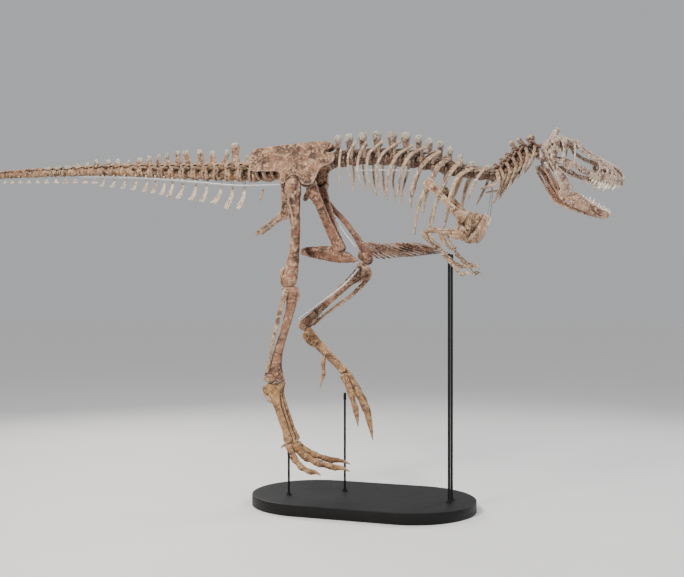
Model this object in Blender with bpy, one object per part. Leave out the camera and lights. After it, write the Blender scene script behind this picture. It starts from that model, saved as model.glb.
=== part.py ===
"""A tyrannosaurid dinosaur skeleton, mounted in a running pose on an oval base with steel rods.

Metres, +Z up. The origin is the centre of the base's underside. +X runs along the animal from
tail to head, +Y is its left side. Each bone, or each row of bones that grow together, is a node.
"""

import math

import bmesh
import bpy
from mathutils import Matrix, Vector

# --- driving dimensions ---------------------------------------------------------------------------
GAP = 0.0003  # clearance between neighbours that touch

BASE_LENGTH = 1.84
BASE_WIDTH = 1.06
BASE_HEIGHT = 0.09

HIP_Z = 2.62  # height of the two hip joints
HIP_X = -0.52
HIP_Y = 0.205

FEMUR_LENGTH = 0.84

DORSALS = 13
DORSAL_RADIUS = 0.050
DORSAL_SPINE = 0.212  # height of a spine's top above the centrum's axis
PROCESS_REACH = 0.112  # half spread of the side processes
RIB_HALF_WIDTH = 0.24  # widest half breadth of the rib cage
RIB_END_Z = (2.52, 2.43, 2.22, 2.23, 2.17, 2.37, 2.46, 2.45, 2.49, 2.485, 2.52, 2.57, 2.54)  # rib 1 first

CERVICALS = 8
CERVICAL_RADIUS = 0.043
CERVICAL_SPINES = (0.085, 0.110, 0.135, 0.188, 0.192, 0.190, 0.180, 0.060)

CAUDALS = 38
CAUDAL_LENGTH = 0.0985  # first caudal, each next one shorter by CAUDAL_STEP
CAUDAL_STEP = 0.00055
CAUDAL_RADIUS = 0.050
FIRST_SPINE_LIFTS = (-0.075, 0.038)  # the first caudal's spine is low and the second's is tall
CHEVRONS = 24
SKIDS_FROM = 13  # from here back the chevrons are low skids
SPINED_CAUDALS = 24  # the rest have only low arches
WINGED_CAUDALS = 10  # caudals with side processes
TAIL_LENGTHS = (9, 9, 10, 10)  # caudals in each length of the tail

SKULL_YAW = math.radians(26)  # the head is turned to its left
SKULL_PITCH = math.radians(20)  # and held nose down
SKULL_AT = Vector((1.469, 0.070, 2.785))  # occipital condyle
JAW_OPEN = math.radians(20)
JAW_HINGE = Vector((0.020, 0.0, -0.108))  # in the skull's own axes
SKULL_WALL = 0.018

COLUMN_SIDES = 5
BONE_SIDES = 8
THIN_SIDES = 4

# --- postures, as short runs of points that a smooth curve is passed through ----------------------
TAIL_LINE = (
    (-0.968, 0, 2.735),
    (-1.50, 0, 2.766),
    (-2.20, 0, 2.808),
    (-3.30, 0, 2.832),
    (-4.36, 0, 2.826),
)
TRUNK_LINE = ((-0.252, 0, 2.790), (0.12, 0, 2.792), (0.45, 0, 2.745), (0.78, 0, 2.660), (1.084, 0, 2.603))
NECK_LINE = (
    (1.108, 0.001, 2.604),
    (1.156, 0.008, 2.624),
    (1.200, 0.014, 2.680),
    (1.262, 0.024, 2.707),
    (1.422, 0.050, 2.760),
)


# --- materials ------------------------------------------------------------------------------------
def material(name, colour, roughness, metallic=0.0):
    made = bpy.data.materials.new(name)
    made.use_nodes = True
    made.diffuse_color = (*colour, 1.0)
    shader = made.node_tree.nodes["Principled BSDF"]
    shader.inputs["Base Color"].default_value = (*colour, 1.0)
    shader.inputs["Roughness"].default_value = roughness
    shader.inputs["Metallic"].default_value = metallic
    return made


# --- helpers --------------------------------------------------------------------------------------
def smooth_line(points, count):
    """`count` points, evenly spaced along a Catmull-Rom curve through `points`."""
    ends = [Vector(p) for p in points]
    ends = [2 * ends[0] - ends[1], *ends, 2 * ends[-1] - ends[-2]]
    fine = []
    for a, b, c, d in zip(ends, ends[1:], ends[2:], ends[3:]):
        for step in range(24):
            t = step / 24
            bend = 2 * a - 5 * b + 4 * c - d
            twist = 3 * b - a - 3 * c + d
            fine.append(0.5 * (2 * b + (c - a) * t + bend * t**2 + twist * t**3))
    fine.append(ends[-2])
    return evenly(fine, [k / (count - 1) for k in range(count)])


def evenly(fine, shares):
    """The points that lie at the given shares of a polyline's length."""
    walked = [0.0]
    for a, b in zip(fine, fine[1:]):
        walked.append(walked[-1] + (b - a).length)
    found = []
    for share in shares:
        wanted = share * walked[-1]
        k = 0
        while k < len(fine) - 2 and walked[k + 1] < wanted:
            k += 1
        part = (wanted - walked[k]) / max(walked[k + 1] - walked[k], 1e-9)
        found.append(fine[k].lerp(fine[k + 1], min(max(part, 0.0), 1.0)))
    return found


def solid(rings):
    """One closed mesh through rings of equal count, with a cap at each end."""
    made = bmesh.new()
    layers = [[made.verts.new(p) for p in ring] for ring in rings]
    for low, high in zip(layers, layers[1:]):
        for k in range(len(low)):
            nxt = (k + 1) % len(low)
            made.faces.new((low[k], low[nxt], high[nxt], high[k]))
    made.faces.new(layers[0][::-1])
    made.faces.new(layers[-1])
    bmesh.ops.recalc_face_normals(made, faces=made.faces)
    mesh = bpy.data.meshes.new("piece")
    made.to_mesh(mesh)
    made.free()
    return mesh


def tube(points, sizes, across=(0, 1, 0), sides=BONE_SIDES):
    """A bone along `points`. Each size is (half width along `across`, half depth square to it)."""
    points = [Vector(p) for p in points]
    rings = []
    for k, point in enumerate(points):
        ahead = points[min(k + 1, len(points) - 1)] - point
        behind = point - points[max(k - 1, 0)]
        along = (ahead.normalized() + behind.normalized()).normalized()
        wide = Vector(across)
        wide = (wide - wide.dot(along) * along).normalized()
        deep = along.cross(wide)
        half_wide, half_deep = sizes[k]
        ring = []
        for side in range(sides):
            turn = 2 * math.pi * (side + 0.5) / sides
            ring.append(point + wide * half_wide * math.cos(turn) + deep * half_deep * math.sin(turn))
        rings.append(ring)
    return solid(rings)


def plate(outline, half_thick, middle):
    """A flat bone: `outline` in (x, z), round a surface y = middle(x, z)."""
    near = [Vector((x, middle(x, z) - half_thick, z)) for x, z in outline]
    far = [Vector((x, middle(x, z) + half_thick, z)) for x, z in outline]
    return solid([near, far])


def wedge(low, high, low_size, high_size):
    """A spine from `low` to `high`. Each size is (half length along X, half thickness along Y)."""
    rings = []
    for at, (half_x, half_y) in ((Vector(low), low_size), (Vector(high), high_size)):
        corners = ((-1, -1), (1, -1), (1, 1), (-1, 1))
        rings.append([at + Vector((half_x * i, half_y * j, 0)) for i, j in corners])
    return solid(rings)


def turned(meshes, matrix):
    for mesh in meshes:
        mesh.transform(matrix)
    return meshes


def boolean(host, operation, meshes):
    """Applies one EXACT Boolean of `meshes` to the object `host`."""
    helpers = bpy.data.collections.new("helpers")
    bpy.context.scene.collection.children.link(helpers)
    for mesh in meshes:
        helper = bpy.data.objects.new("helper", mesh)
        helper.hide_render = True
        helper.display_type = "WIRE"
        helpers.objects.link(helper)
    modifier = host.modifiers.new(operation.title(), "BOOLEAN")
    modifier.operation = operation
    modifier.solver = "EXACT"
    modifier.operand_type = "COLLECTION"
    modifier.collection = helpers
    graph = bpy.context.evaluated_depsgraph_get()
    graph.update()
    result = bpy.data.meshes.new_from_object(host.evaluated_get(graph))
    host.modifiers.clear()
    host.data = result
    for helper in list(helpers.objects):
        bpy.data.objects.remove(helper)
    bpy.data.collections.remove(helpers)


def bone(name, pieces, finish, cut=(), keep=None, smooth=True):
    """The named object: `pieces` joined into one body, less `cut`, kept inside `keep`."""
    made = bpy.data.objects.new(name, pieces[0])
    bpy.context.scene.collection.objects.link(made)
    if len(pieces) > 1:
        boolean(made, "UNION", pieces[1:])
    if cut:
        boolean(made, "DIFFERENCE", cut)
    if keep:
        boolean(made, "INTERSECT", [keep])
    made.data.materials.clear()
    made.data.materials.append(finish)
    if smooth:
        made.data.shade_smooth()
        made.data.set_sharp_from_angle(angle=math.radians(40))
    return made


def block(low, high):
    (x0, y0, z0), (x1, y1, z1) = low, high
    ring = ((x0, y0), (x1, y0), (x1, y1), (x0, y1))
    return solid([[Vector((x, y, z)) for x, y in ring] for z in (z0, z1)])


def sided(points, side):
    """Points given for the left side (+Y), moved to `side`: 1 is left, -1 is right."""
    return [(x, y * side, z) for x, y, z in points]


# --- the column -----------------------------------------------------------------------------------
def column(joints, radii, waist=0.74, tall=1.08):
    """Centra in a row, `tall` times as high as wide, each with a waist where `waist` is under 1."""
    points = []
    sizes = []
    for k, (here, after) in enumerate(zip(joints, joints[1:])):
        points.append(here)
        sizes.append((radii[k], radii[k] * tall))
        if waist < 1:
            middle = waist * (radii[k] + radii[k + 1]) / 2
            points.append(here.lerp(after, 0.5))
            sizes.append((middle, middle * tall))
    points.append(joints[-1])
    sizes.append((radii[-1], radii[-1] * tall))
    return tube(points, sizes, sides=COLUMN_SIDES)


def caudal_joints():
    """Joints between the caudals, sacrum first."""
    lengths = [CAUDAL_LENGTH - CAUDAL_STEP * k for k in range(CAUDALS)]
    shares = [sum(lengths[:k]) / sum(lengths) for k in range(CAUDALS + 1)]
    return evenly(smooth_line(TAIL_LINE, 200), shares)


def caudal_radius(index):
    """Half width of a caudal's joint: an even taper, steeper over the last ones."""
    if index < 26:
        return CAUDAL_RADIUS * (1 - 0.0195 * index)
    return CAUDAL_RADIUS * 0.49 * (1 - (index - 26) / 20)


def caudal(index, here, after):
    """Spine, side processes and chevron of one caudal."""
    middle = here.lerp(after, 0.5)
    length = (after - here).length
    radius = caudal_radius(index)
    pieces = []
    if index < SPINED_CAUDALS:
        lift = FIRST_SPINE_LIFTS[index] if index < len(FIRST_SPINE_LIFTS) else 0.0
        top = middle + Vector((-0.028 + 0.0005 * index, 0, 0.222 - 0.0082 * index + lift))
        foot = middle + Vector((0.012, 0, radius * 0.45))
        pieces.append(
            wedge(foot, top, (length * 0.36, radius * 0.42), (length * 0.26, radius * 0.22 + 0.002))
        )
    if index < WINGED_CAUDALS:
        reach = Vector((0, radius + 0.105 - 0.0068 * index, 0))
        level = middle + Vector((-0.010, 0, radius * 0.30))
        ends = (level - reach, level + reach)
        pieces.append(tube(ends, ((0.017, 0.007), (0.017, 0.007)), across=(1, 0, 0), sides=3))
    if index < CHEVRONS:
        pieces.append(chevron(index, here.lerp(after, 0.86 if index < SKIDS_FROM else 0.62), radius))
    return pieces


def chevron(index, joint, radius):
    """The haemal arch at the rear of caudal `index`: long and swept near the hips, then a low skid."""
    top = joint + Vector((0, 0, -radius * 0.55))
    if index >= SKIDS_FROM:
        reach = 0.082 - 0.0026 * (index - SKIDS_FROM)
        skid = top + Vector((-0.002, 0, -reach))
        return wedge(skid, top, (0.026, 0.006), (0.012, radius * 0.4))
    drop = 0.302 - 0.0140 * index
    bow = joint + Vector((0.004, 0, -drop * 0.62))
    tip = joint + Vector((-0.044 + 0.0010 * index, 0, -drop))
    return tube((top, bow, tip), ((0.015, 0.012), (0.009, 0.018), (0.009, 0.024)), sides=3)


def tail(finish):
    joints = caudal_joints()
    first = 0
    for number, count in enumerate(TAIL_LENGTHS):
        last = first + count
        run = joints[first : last + 1]
        radii = [caudal_radius(k) for k in range(first, last + 1)]
        if number:
            run[0] = run[0] + (run[1] - run[0]).normalized() * 2 * GAP
        pieces = [column(run, radii, waist=0.74 if number < 2 else 1.0)]
        for index in range(first, last):
            pieces += caudal(index, joints[index], joints[index + 1])
        bone(f"tail_{number + 1}", pieces, finish)
        first = last


def trunk(finish):
    """The 13 dorsals with their ribs, parted down the middle into two sides."""
    joints = evenly(smooth_line(TRUNK_LINE, 200), [dorsal_share(k / DORSALS) for k in range(DORSALS + 1)])
    pieces = [column(joints, [DORSAL_RADIUS * (1 - 0.016 * k) for k in range(DORSALS + 1)])]
    for k, (here, after) in enumerate(zip(joints, joints[1:])):
        number = DORSALS - k  # dorsal 1 is next to the neck
        middle = here.lerp(after, 0.5)
        top = middle + Vector((-0.004, 0, DORSAL_SPINE * dorsal_height(number)))
        foot = middle + Vector((0, 0, DORSAL_RADIUS * 0.5))
        long = (after - here).length
        pieces.append(wedge(foot, top, (long * 0.32, 0.018), (long * 0.27, 0.013)))
        pieces.append(ribs(number, middle))
    for name, low, high in (("trunk_right", -1.0, -GAP / 2), ("trunk_left", GAP / 2, 1.0)):
        half = block((joints[0].x - 0.2, low, 1.5), (joints[-1].x + 0.2, high, 3.5))
        bone(name, [piece.copy() for piece in pieces], finish, keep=half)


def dorsal_share(even):
    """The even share of a joint along the trunk, with the middle dorsals drawn towards the head."""
    return even + 0.037 * math.sin(2 * math.pi * (even - 0.22)) * min(1.0, even / 0.25, (1 - even) / 0.12)


def dorsal_height(number):
    """Share of the full spine height: the first few dorsals are lower, the middle ones tallest."""
    return 0.36 + 0.64 * eased((number - 1.2) / 4) + 0.09 * math.exp(-(((number - 8.5) / 2.2) ** 2))


def eased(value):
    """A smooth step from 0 to 1."""
    value = min(1.0, max(0.0, value))
    return value * value * (3 - 2 * value)


def ribs(number, middle):
    """The pair of ribs of one dorsal with its side processes, as one arch from end to end.

    Each rib runs out and forward to the process's tip, sweeps back round the flank, and turns in.
    The rear ones hang nearly straight and the front ones sweep back all the way down.
    """
    reach = PROCESS_REACH
    if number == DORSALS:
        arch_x, ahead, flank_back, end_back = 0.036, 0.060, -0.008, -0.010
    else:
        arch_x = 0.006
        ahead = 0.105 - 0.030 * (eased((number - 2) / 3) + eased(2 - number))
        flank_back = 0.150 - 0.112 * eased((number - 8.5) / 3)
        end_back = 0.212 * (1 - eased((number - 7) / 4))
    wide = RIB_HALF_WIDTH * (1 - 0.13 * max(0, 3 - number)) * (1 - 0.05 * max(0, number - 9))
    tip_z = middle.z + 0.025 + 0.080 * eased((number - 4) / 2.5)
    end_z = RIB_END_Z[number - 1]
    fall = tip_z - end_z
    tip_x = middle.x + ahead
    half = (
        (tip_x, reach, tip_z),
        (tip_x - flank_back * 0.65, reach + (wide - reach) * 0.72, tip_z - fall * 0.24),
        (tip_x - flank_back, wide, tip_z - fall * 0.52),
        (tip_x - end_back, wide * 0.90, end_z),
    )
    sizes = ((0.018, 0.016), (0.014, 0.015), (0.014, 0.012), (0.010, 0.009))
    arch = (middle.x + arch_x, 0, middle.z + min(0.052, tip_z - middle.z))
    arch_size = (0.016, 0.016) if number == DORSALS else (0.026, 0.016)
    path = [*sided(half, -1)[::-1], arch, *half]
    return tube(path, [*sizes[::-1], arch_size, *sizes], across=(1, 0, 0), sides=3)


def neck(finish):
    """The cervicals, each with its spine, side joints and the long thin cervical ribs."""
    joints = smooth_line(NECK_LINE, CERVICALS + 1)
    joints[0] = joints[0] + (joints[1] - joints[0]).normalized() * 2 * GAP
    pieces = [
        column(joints, [CERVICAL_RADIUS * (1 - 0.040 * k) for k in range(CERVICALS + 1)], waist=1.0)
    ]
    for k, (here, after) in enumerate(zip(joints, joints[1:])):
        pieces += cervical(k, here, after)
    bone("neck", pieces, finish)


def cervical(k, here, after):
    """Spine, joint wings and ribs of one cervical, counted from the trunk."""
    middle = here.lerp(after, 0.5)
    along = (after - here).normalized()
    upward = Vector((-0.25 * along.z, 0, 1)).normalized()
    left = upward.cross(along).normalized()
    size = 1 - 0.04 * k
    low = middle + upward * 0.015
    top = middle + upward * CERVICAL_SPINES[k]
    pieces = [tube((low, top), ((0.018, 0.024), (0.013, 0.016)), across=left, sides=THIN_SIDES)]
    reach = left * (0.076 * size if k else 0.046)
    rise = upward * 0.062
    wings = (middle - reach + rise, middle + upward * 0.022, middle + reach + rise)
    sizes = ((0.016, 0.011), (0.020, 0.024), (0.016, 0.011))
    pieces.append(tube(wings, sizes, across=along, sides=3))
    if k < CERVICALS - 1:
        root = middle + Vector((0.004, 0, -0.014))
        drop = Vector((-0.050, 0, -0.150 + 0.004 * k))
        spread = Vector((0, 0.066, 0))
        path = (root + drop - spread, root, root + drop + spread)
        pieces.append(tube(path, ((0.005, 0.005), (0.016, 0.016), (0.005, 0.005)), across=along, sides=3))
    return pieces


# --- hips -----------------------------------------------------------------------------------------
def sacrum(finish):
    joints = smooth_line(((-0.259, 0, 2.789), (-0.60, 0, 2.752), (-0.962, 0, 2.736)), 6)
    pieces = [column(joints, [0.050, 0.046, 0.044, 0.044, 0.046, 0.050])]
    fan = ((-0.935, 2.74), (-0.300, 2.77), (-0.290, 2.935), (-0.60, 2.925), (-0.920, 2.905))
    pieces.append(plate(fan, 0.009, lambda x, z: 0.0))
    for here, after in zip(joints, joints[1:]):
        middle = here.lerp(after, 0.5)
        level = middle + Vector((0, 0, 0.018))
        reach = Vector((0, 0.058, 0))
        pieces.append(
            tube(
                (level - reach, level + reach), ((0.032, 0.032),) * 2, across=(1, 0, 0), sides=THIN_SIDES
            )
        )
    first_chevron = ((-0.915, 0, 2.715), (-0.905, 0, 2.600), (-0.935, 0, 2.512))
    pieces.append(tube(first_chevron, ((0.013, 0.010), (0.006, 0.007), (0.006, 0.010)), sides=THIN_SIDES))
    bone("sacrum", pieces, finish)


ILIUM_TOP_Y = 0.036  # half distance between the blades along their top edges
LIP_STATIONS = 5  # along the rim over the hip socket


def ilium_middle(side):
    """The blade stands nearly upright over the sacrum and flares to the hip socket."""

    def middle(x, z):
        flare = max(0.0, 2.955 - z)
        return side * (ILIUM_TOP_Y + 0.20 * flare + 0.55 * flare**2)

    return middle


def ilium(side, name, finish):
    top = ((-0.215, 2.960), (-0.400, 2.958), (-0.650, 2.948), (-0.860, 2.940), (-0.950, 2.922))
    rear = ((-0.985, 2.850), (-0.975, 2.775), (-0.900, 2.738))
    below = ((-0.720, 2.715), (-0.640, 2.620), (-0.590, 2.612))
    socket = []
    for k in range(1, 6):
        turn = math.pi * (1 - k / 6)
        socket.append((HIP_X + 0.078 * math.cos(turn), HIP_Z + 0.020 + 0.078 * math.sin(turn)))
    front = ((-0.440, 2.590), (-0.350, 2.590), (-0.300, 2.700), (-0.330, 2.762))
    hook = ((-0.240, 2.755), (-0.190, 2.800), (-0.182, 2.880), (-0.196, 2.935))
    outline = (*top, *rear, *below, *socket, *front, *hook)
    blade = plate(outline, 0.013, ilium_middle(side))
    rim = []
    for k in range(LIP_STATIONS):
        turn = math.pi * (0.02 + 0.96 * k / (LIP_STATIONS - 1))
        rim.append((HIP_X + 0.098 * math.cos(turn), side * 0.128, HIP_Z + 0.022 + 0.098 * math.sin(turn)))
    lip = tube(rim, [(0.030, 0.017)] * LIP_STATIONS, sides=THIN_SIDES)
    bone(name, [blade, lip], finish)


def pubis(finish):
    """Both pubes, joined along their lower shafts into the long boot."""
    pieces = []
    for side in (-1, 1):
        shaft = (
            (-0.392, side * 0.112, 2.572),
            (-0.358, side * 0.092, 2.450),
            (-0.272, side * 0.050, 2.240),
            (-0.195, side * 0.026, 2.080),
        )
        pieces.append(
            tube(shaft, ((0.034, 0.052), (0.020, 0.038), (0.018, 0.036), (0.020, 0.048)), sides=6)
        )
    apron = []
    for x, z in ((-0.315, 2.330), (-0.265, 2.250), (-0.185, 2.080)):
        apron.append((x, 0, z))
    pieces.append(tube(apron, ((0.052, 0.006), (0.040, 0.008), (0.024, 0.012)), sides=THIN_SIDES))
    boot = (
        (-0.515, 0, 2.086),
        (-0.420, 0, 2.066),
        (-0.300, 0, 2.048),
        (-0.180, 0, 2.028),
        (-0.090, 0, 2.006),
        (-0.035, 0, 1.992),
    )
    sizes = (
        (0.010, 0.018),
        (0.022, 0.040),
        (0.034, 0.066),
        (0.042, 0.068),
        (0.038, 0.054),
        (0.020, 0.024),
    )
    pieces.append(tube(boot, sizes))
    bone("pubis", pieces, finish)


def ischium(finish):
    """Both ischia, joined at their lower ends, each with the obturator flange."""
    pieces = []
    for side in (-1, 1):
        shaft = (
            (-0.615, side * 0.112, 2.560),
            (-0.635, side * 0.084, 2.460),
            (-0.755, side * 0.028, 2.345),
            (-0.950, side * 0.008, 2.215),
        )
        pieces.append(
            tube(shaft, ((0.026, 0.044), (0.014, 0.036), (0.012, 0.022), (0.013, 0.017)), sides=6)
        )
        flange = ((-0.650, 2.480), (-0.550, 2.390), (-0.565, 2.355), (-0.720, 2.335))
        pieces.append(plate(flange, 0.006, lambda x, z, s=side: s * (0.072 + 0.40 * (x + 0.65))))
    bone("ischium", pieces, finish)


# --- rib cage floor and shoulders -----------------------------------------------------------------
GASTRALIA_ROWS = 11
GASTRALIA_FIRST_X = 0.070
GASTRALIA_STEP = 0.060


def gastralia(finish):
    """The belly ribs: rows of slanting rods, joined along the midline."""
    pieces = []
    for row in range(GASTRALIA_ROWS):
        x = GASTRALIA_FIRST_X + GASTRALIA_STEP * row
        share = row / (GASTRALIA_ROWS - 1)
        z = 2.022 + 0.020 * math.sin(math.pi * share)
        wide = 0.115 + 0.080 * math.sin(math.pi * min(1.0, share + 0.15))
        path = [
            (x - 0.120, -wide, z + 0.080),
            (x - 0.034, -wide * 0.45, z + 0.020),
            (x + 0.024, 0, z - 0.006),
            (x - 0.034, wide * 0.45, z + 0.020),
            (x - 0.120, wide, z + 0.080),
        ]
        sizes = ((0.005, 0.005), (0.009, 0.010), (0.010, 0.011), (0.009, 0.010), (0.005, 0.005))
        pieces.append(tube(path, sizes, across=(1, 0, 0), sides=3))
    last_x = GASTRALIA_FIRST_X + GASTRALIA_STEP * (GASTRALIA_ROWS - 1)
    keel = ((GASTRALIA_FIRST_X + 0.005, 0, 2.016), (0.37, 0, 2.035), (last_x + 0.040, 0, 2.016))
    pieces.append(tube(keel, ((0.008, 0.007),) * 3, sides=3))
    bone("gastralia", pieces, finish)


def shoulder(side, name, finish):
    """Scapula and coracoid of one side."""
    blade = sided(
        (
            (0.602, 0.270, 2.555),
            (0.650, 0.278, 2.505),
            (0.740, 0.282, 2.410),
            (0.845, 0.262, 2.285),
            (0.868, 0.250, 2.240),
        ),
        side,
    )
    sizes = ((0.008, 0.046), (0.009, 0.033), (0.010, 0.026), (0.013, 0.032), (0.018, 0.058))
    outline = (
        (0.868, 2.325), (0.972, 2.300), (0.958, 2.225), (0.900, 2.150), (0.862, 2.118), (0.838, 2.165),
        (0.828, 2.240),
    )
    coracoid = plate(outline, 0.010, lambda x, z: side * (0.246 - 1.0 * (x - 0.838)))
    bone(name, [tube(blade, sizes, sides=6), coracoid], finish)


def furcula(finish):
    path = (
        (1.000, -0.062, 2.298),
        (0.990, -0.022, 2.240),
        (0.988, 0, 2.230),
        (0.990, 0.022, 2.240),
        (1.000, 0.062, 2.298),
    )
    bone("furcula", [tube(path, ((0.007, 0.007),) * 5, across=(1, 0, 0), sides=5)], finish)


def arm(side, suffix, finish):
    """Humerus, radius, ulna and the two-fingered hand. The left arm is carried a little higher."""
    lift = 0.0 if side < 0 else 0.025
    upper = sided(
        (
            (0.888, 0.265, 2.150),
            (0.850, 0.280, 2.158),
            (0.740, 0.294, 2.170),
            (0.615, 0.306, 2.188 + lift),
        ),
        side,
    )
    bone(
        f"humerus_{suffix}",
        [tube(upper, ((0.024, 0.030), (0.026, 0.028), (0.016, 0.018), (0.024, 0.024)), sides=6)],
        finish,
    )
    radius = sided(
        ((0.634, 0.322, 2.148 + lift), (0.665, 0.305, 2.105 + lift), (0.702, 0.272, 2.060 + lift)), side
    )
    bone(
        f"radius_{suffix}",
        [tube(radius, ((0.013, 0.014), (0.008, 0.009), (0.012, 0.012)), sides=6)],
        finish,
    )
    ulna = sided(
        ((0.585, 0.296, 2.160 + lift), (0.618, 0.284, 2.105 + lift), (0.680, 0.245, 2.050 + lift)), side
    )
    bone(
        f"ulna_{suffix}", [tube(ulna, ((0.016, 0.022), (0.011, 0.013), (0.012, 0.013)), sides=6)], finish
    )
    wrist = tube(
        sided(((0.700, 0.262, 2.042 + lift), (0.722, 0.246, 2.012 + lift)), side), (
            (0.030, 0.016), (0.026, 0.015)
        ), sides=6
    )
    first = sided(
        (
            (0.716, 0.234, 2.018 + lift),
            (0.770, 0.222, 1.965 + lift),
            (0.835, 0.210, 1.915 + lift),
            (0.885, 0.202, 1.892 + lift),
            (0.930, 0.196, 1.868 + lift),
        ),
        side,
    )
    second = sided(
        (
            (0.712, 0.262, 2.014 + lift),
            (0.775, 0.262, 1.945 + lift),
            (0.826, 0.258, 1.885 + lift),
            (0.866, 0.254, 1.842 + lift),
            (0.925, 0.248, 1.834 + lift),
        ),
        side,
    )
    sizes = ((0.014, 0.014), (0.013, 0.014), (0.010, 0.011), (0.010, 0.014), (0.003, 0.003))
    fingers = [tube(path, sizes, sides=THIN_SIDES) for path in (first, second)]
    bone(f"hand_{suffix}", [wrist, *fingers], finish)


# --- legs -----------------------------------------------------------------------------------------
def along(start, end, share, out=(0, 0, 0)):
    """The point at `share` of the way from start to end, moved by `out`."""
    return Vector(start).lerp(Vector(end), share) + Vector(out)


def leg(side, suffix, hip, knee, ankle, foot, finish, knee_room=0.0, ankle_room=0.0, splint_fore=-0.034):
    """Femur, tibia, fibula and metatarsus between the joint centres, right leg for side -1.

    A folded joint needs room: `knee_room` and `ankle_room` are the shares of the bone below that
    it takes. `splint_fore` is how far the fibula stands in front of the shin's axis.
    """
    thigh = (Vector(knee) - Vector(hip)).normalized()
    shin = (Vector(ankle) - Vector(knee)).normalized()
    ahead = Vector((0, side, 0)).cross(thigh) * -side
    ahead = ahead if ahead.x > 0 else -ahead
    femur_shaft = [
        along(hip, knee, -0.030, ahead * 0.010),
        along(hip, knee, 0.045),
        along(hip, knee, 0.22, ahead * 0.020),
        along(hip, knee, 0.50, ahead * 0.036),
        along(hip, knee, 0.80, ahead * 0.020),
        along(hip, knee, 0.93, ahead * -0.004),
        along(hip, knee, 0.985, ahead * -0.012),
    ]
    sizes = (
        (0.034, 0.038), (0.046, 0.058), (0.040, 0.050), (0.038, 0.046), (0.044, 0.054), (0.058, 0.072),
        (0.050, 0.056),
    )
    head = (along(hip, knee, 0.03), along(hip, knee, 0.035, (0, -side * 0.078, 0.004)))
    pieces = [
        tube(femur_shaft, sizes),
        tube(head, ((0.044, 0.036), (0.036, 0.032)), across=(1, 0, 0), sides=6),
    ]
    bone(f"femur_{suffix}", pieces, finish)

    fore = Vector((0, 1, 0)).cross(shin)
    fore = fore if fore.x > 0 else -fore
    tibia_shaft = [
        along(knee, ankle, 0.035 + knee_room, fore * 0.012),
        along(knee, ankle, 0.075 + knee_room, fore * 0.026),
        along(knee, ankle, 0.24 + knee_room * 0.5, fore * 0.016),
        along(knee, ankle, 0.55, fore * -0.012),
        along(knee, ankle, 0.90, fore * -0.008),
        along(knee, ankle, 0.985, fore * -0.006),
    ]
    inner = Vector((0, -side * 0.010, 0))
    tibia_shaft = [p + inner for p in tibia_shaft]
    sizes = (
        (0.044, 0.058),
        (0.044, 0.074),
        (0.033, 0.050),
        (0.028, 0.036),
        (0.052, 0.046),
        (0.062, 0.066),
    )
    bone(f"tibia_{suffix}", [tube(tibia_shaft, sizes)], finish)
    splint = [
        along(knee, ankle, 0.050 + knee_room, fore * splint_fore * 0.6 + Vector((0, side * 0.054, 0))),
        along(knee, ankle, 0.12 + knee_room, fore * splint_fore + Vector((0, side * 0.050, 0))),
        along(knee, ankle, 0.40, fore * splint_fore * 1.3 + Vector((0, side * 0.034, 0))),
        along(knee, ankle, 0.84, fore * splint_fore * 0.6 + Vector((0, side * 0.056, 0))),
    ]
    sizes = ((0.010, 0.034), (0.010, 0.030), (0.007, 0.012), (0.007, 0.009))
    bone(f"fibula_{suffix}", [tube(splint, sizes, sides=6)], finish)

    stride = (Vector(foot) - Vector(ankle)).normalized()
    crest = Vector((0, 1, 0)).cross(stride)
    crest = crest if crest.x > 0 else -crest
    pieces = []
    for spread, reach, width in ((-1, 0.94, 0.021), (0, 1.0, 0.023), (1, 0.93, 0.020)):
        y = spread * side * 0.026
        far_y = spread * side * 0.045
        path = (
            along(ankle, foot, 0.045 + ankle_room, (0, y, 0)),
            along(ankle, foot, 0.16 + ankle_room, (0, y, 0)),
            along(ankle, foot, 0.60, (0, y * 1.1, 0)),
            along(ankle, foot, reach * 0.985, Vector((0, far_y, 0))),
        )
        sizes = ((width * 1.2, 0.062), (width, 0.046), (width * 0.8, 0.031), (width, 0.031))
        pieces.append(tube(path, sizes, sides=5))
    pieces.append(
        tube(
            (
                along(ankle, foot, 0.07 + ankle_room, crest * -0.040 + Vector((0, side * 0.030, 0))),
                along(ankle, foot, 0.16 + ankle_room, crest * -0.066 + Vector((0, side * 0.034, 0))),
                along(ankle, foot, 0.30 + ankle_room, crest * -0.056 + Vector((0, side * 0.030, 0))),
            ),
            ((0.012, 0.014), (0.010, 0.012), (0.006, 0.007)),
            sides=THIN_SIDES,
        )
    )
    bone(f"metatarsus_{suffix}", pieces, finish)


def toe(name, knuckles, radius, finish, claw_dip=0.030):
    """One toe: a phalanx between each pair of knuckles, and a curved claw at the end."""
    joints = [Vector(p) for p in knuckles]
    points = []
    sizes = []
    last = len(joints) - 2
    for k, (here, after) in enumerate(zip(joints, joints[1:])):
        shrink = radius * (1 - 0.10 * k)
        if k < last:
            points += [here.lerp(after, 0.06), here.lerp(after, 0.52)]
            sizes += [(shrink, shrink * 1.1), (shrink * 0.74, shrink * 0.76)]
        else:
            over = Vector((0, 0, claw_dip * 0.35))
            points += [here.lerp(after, 0.06), here.lerp(after, 0.55) + over, after]
            sizes += [(shrink * 0.80, shrink), (shrink * 0.55, shrink * 0.62), (0.003, 0.003)]
    bone(name, [tube(points, sizes, sides=5)], finish)


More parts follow.
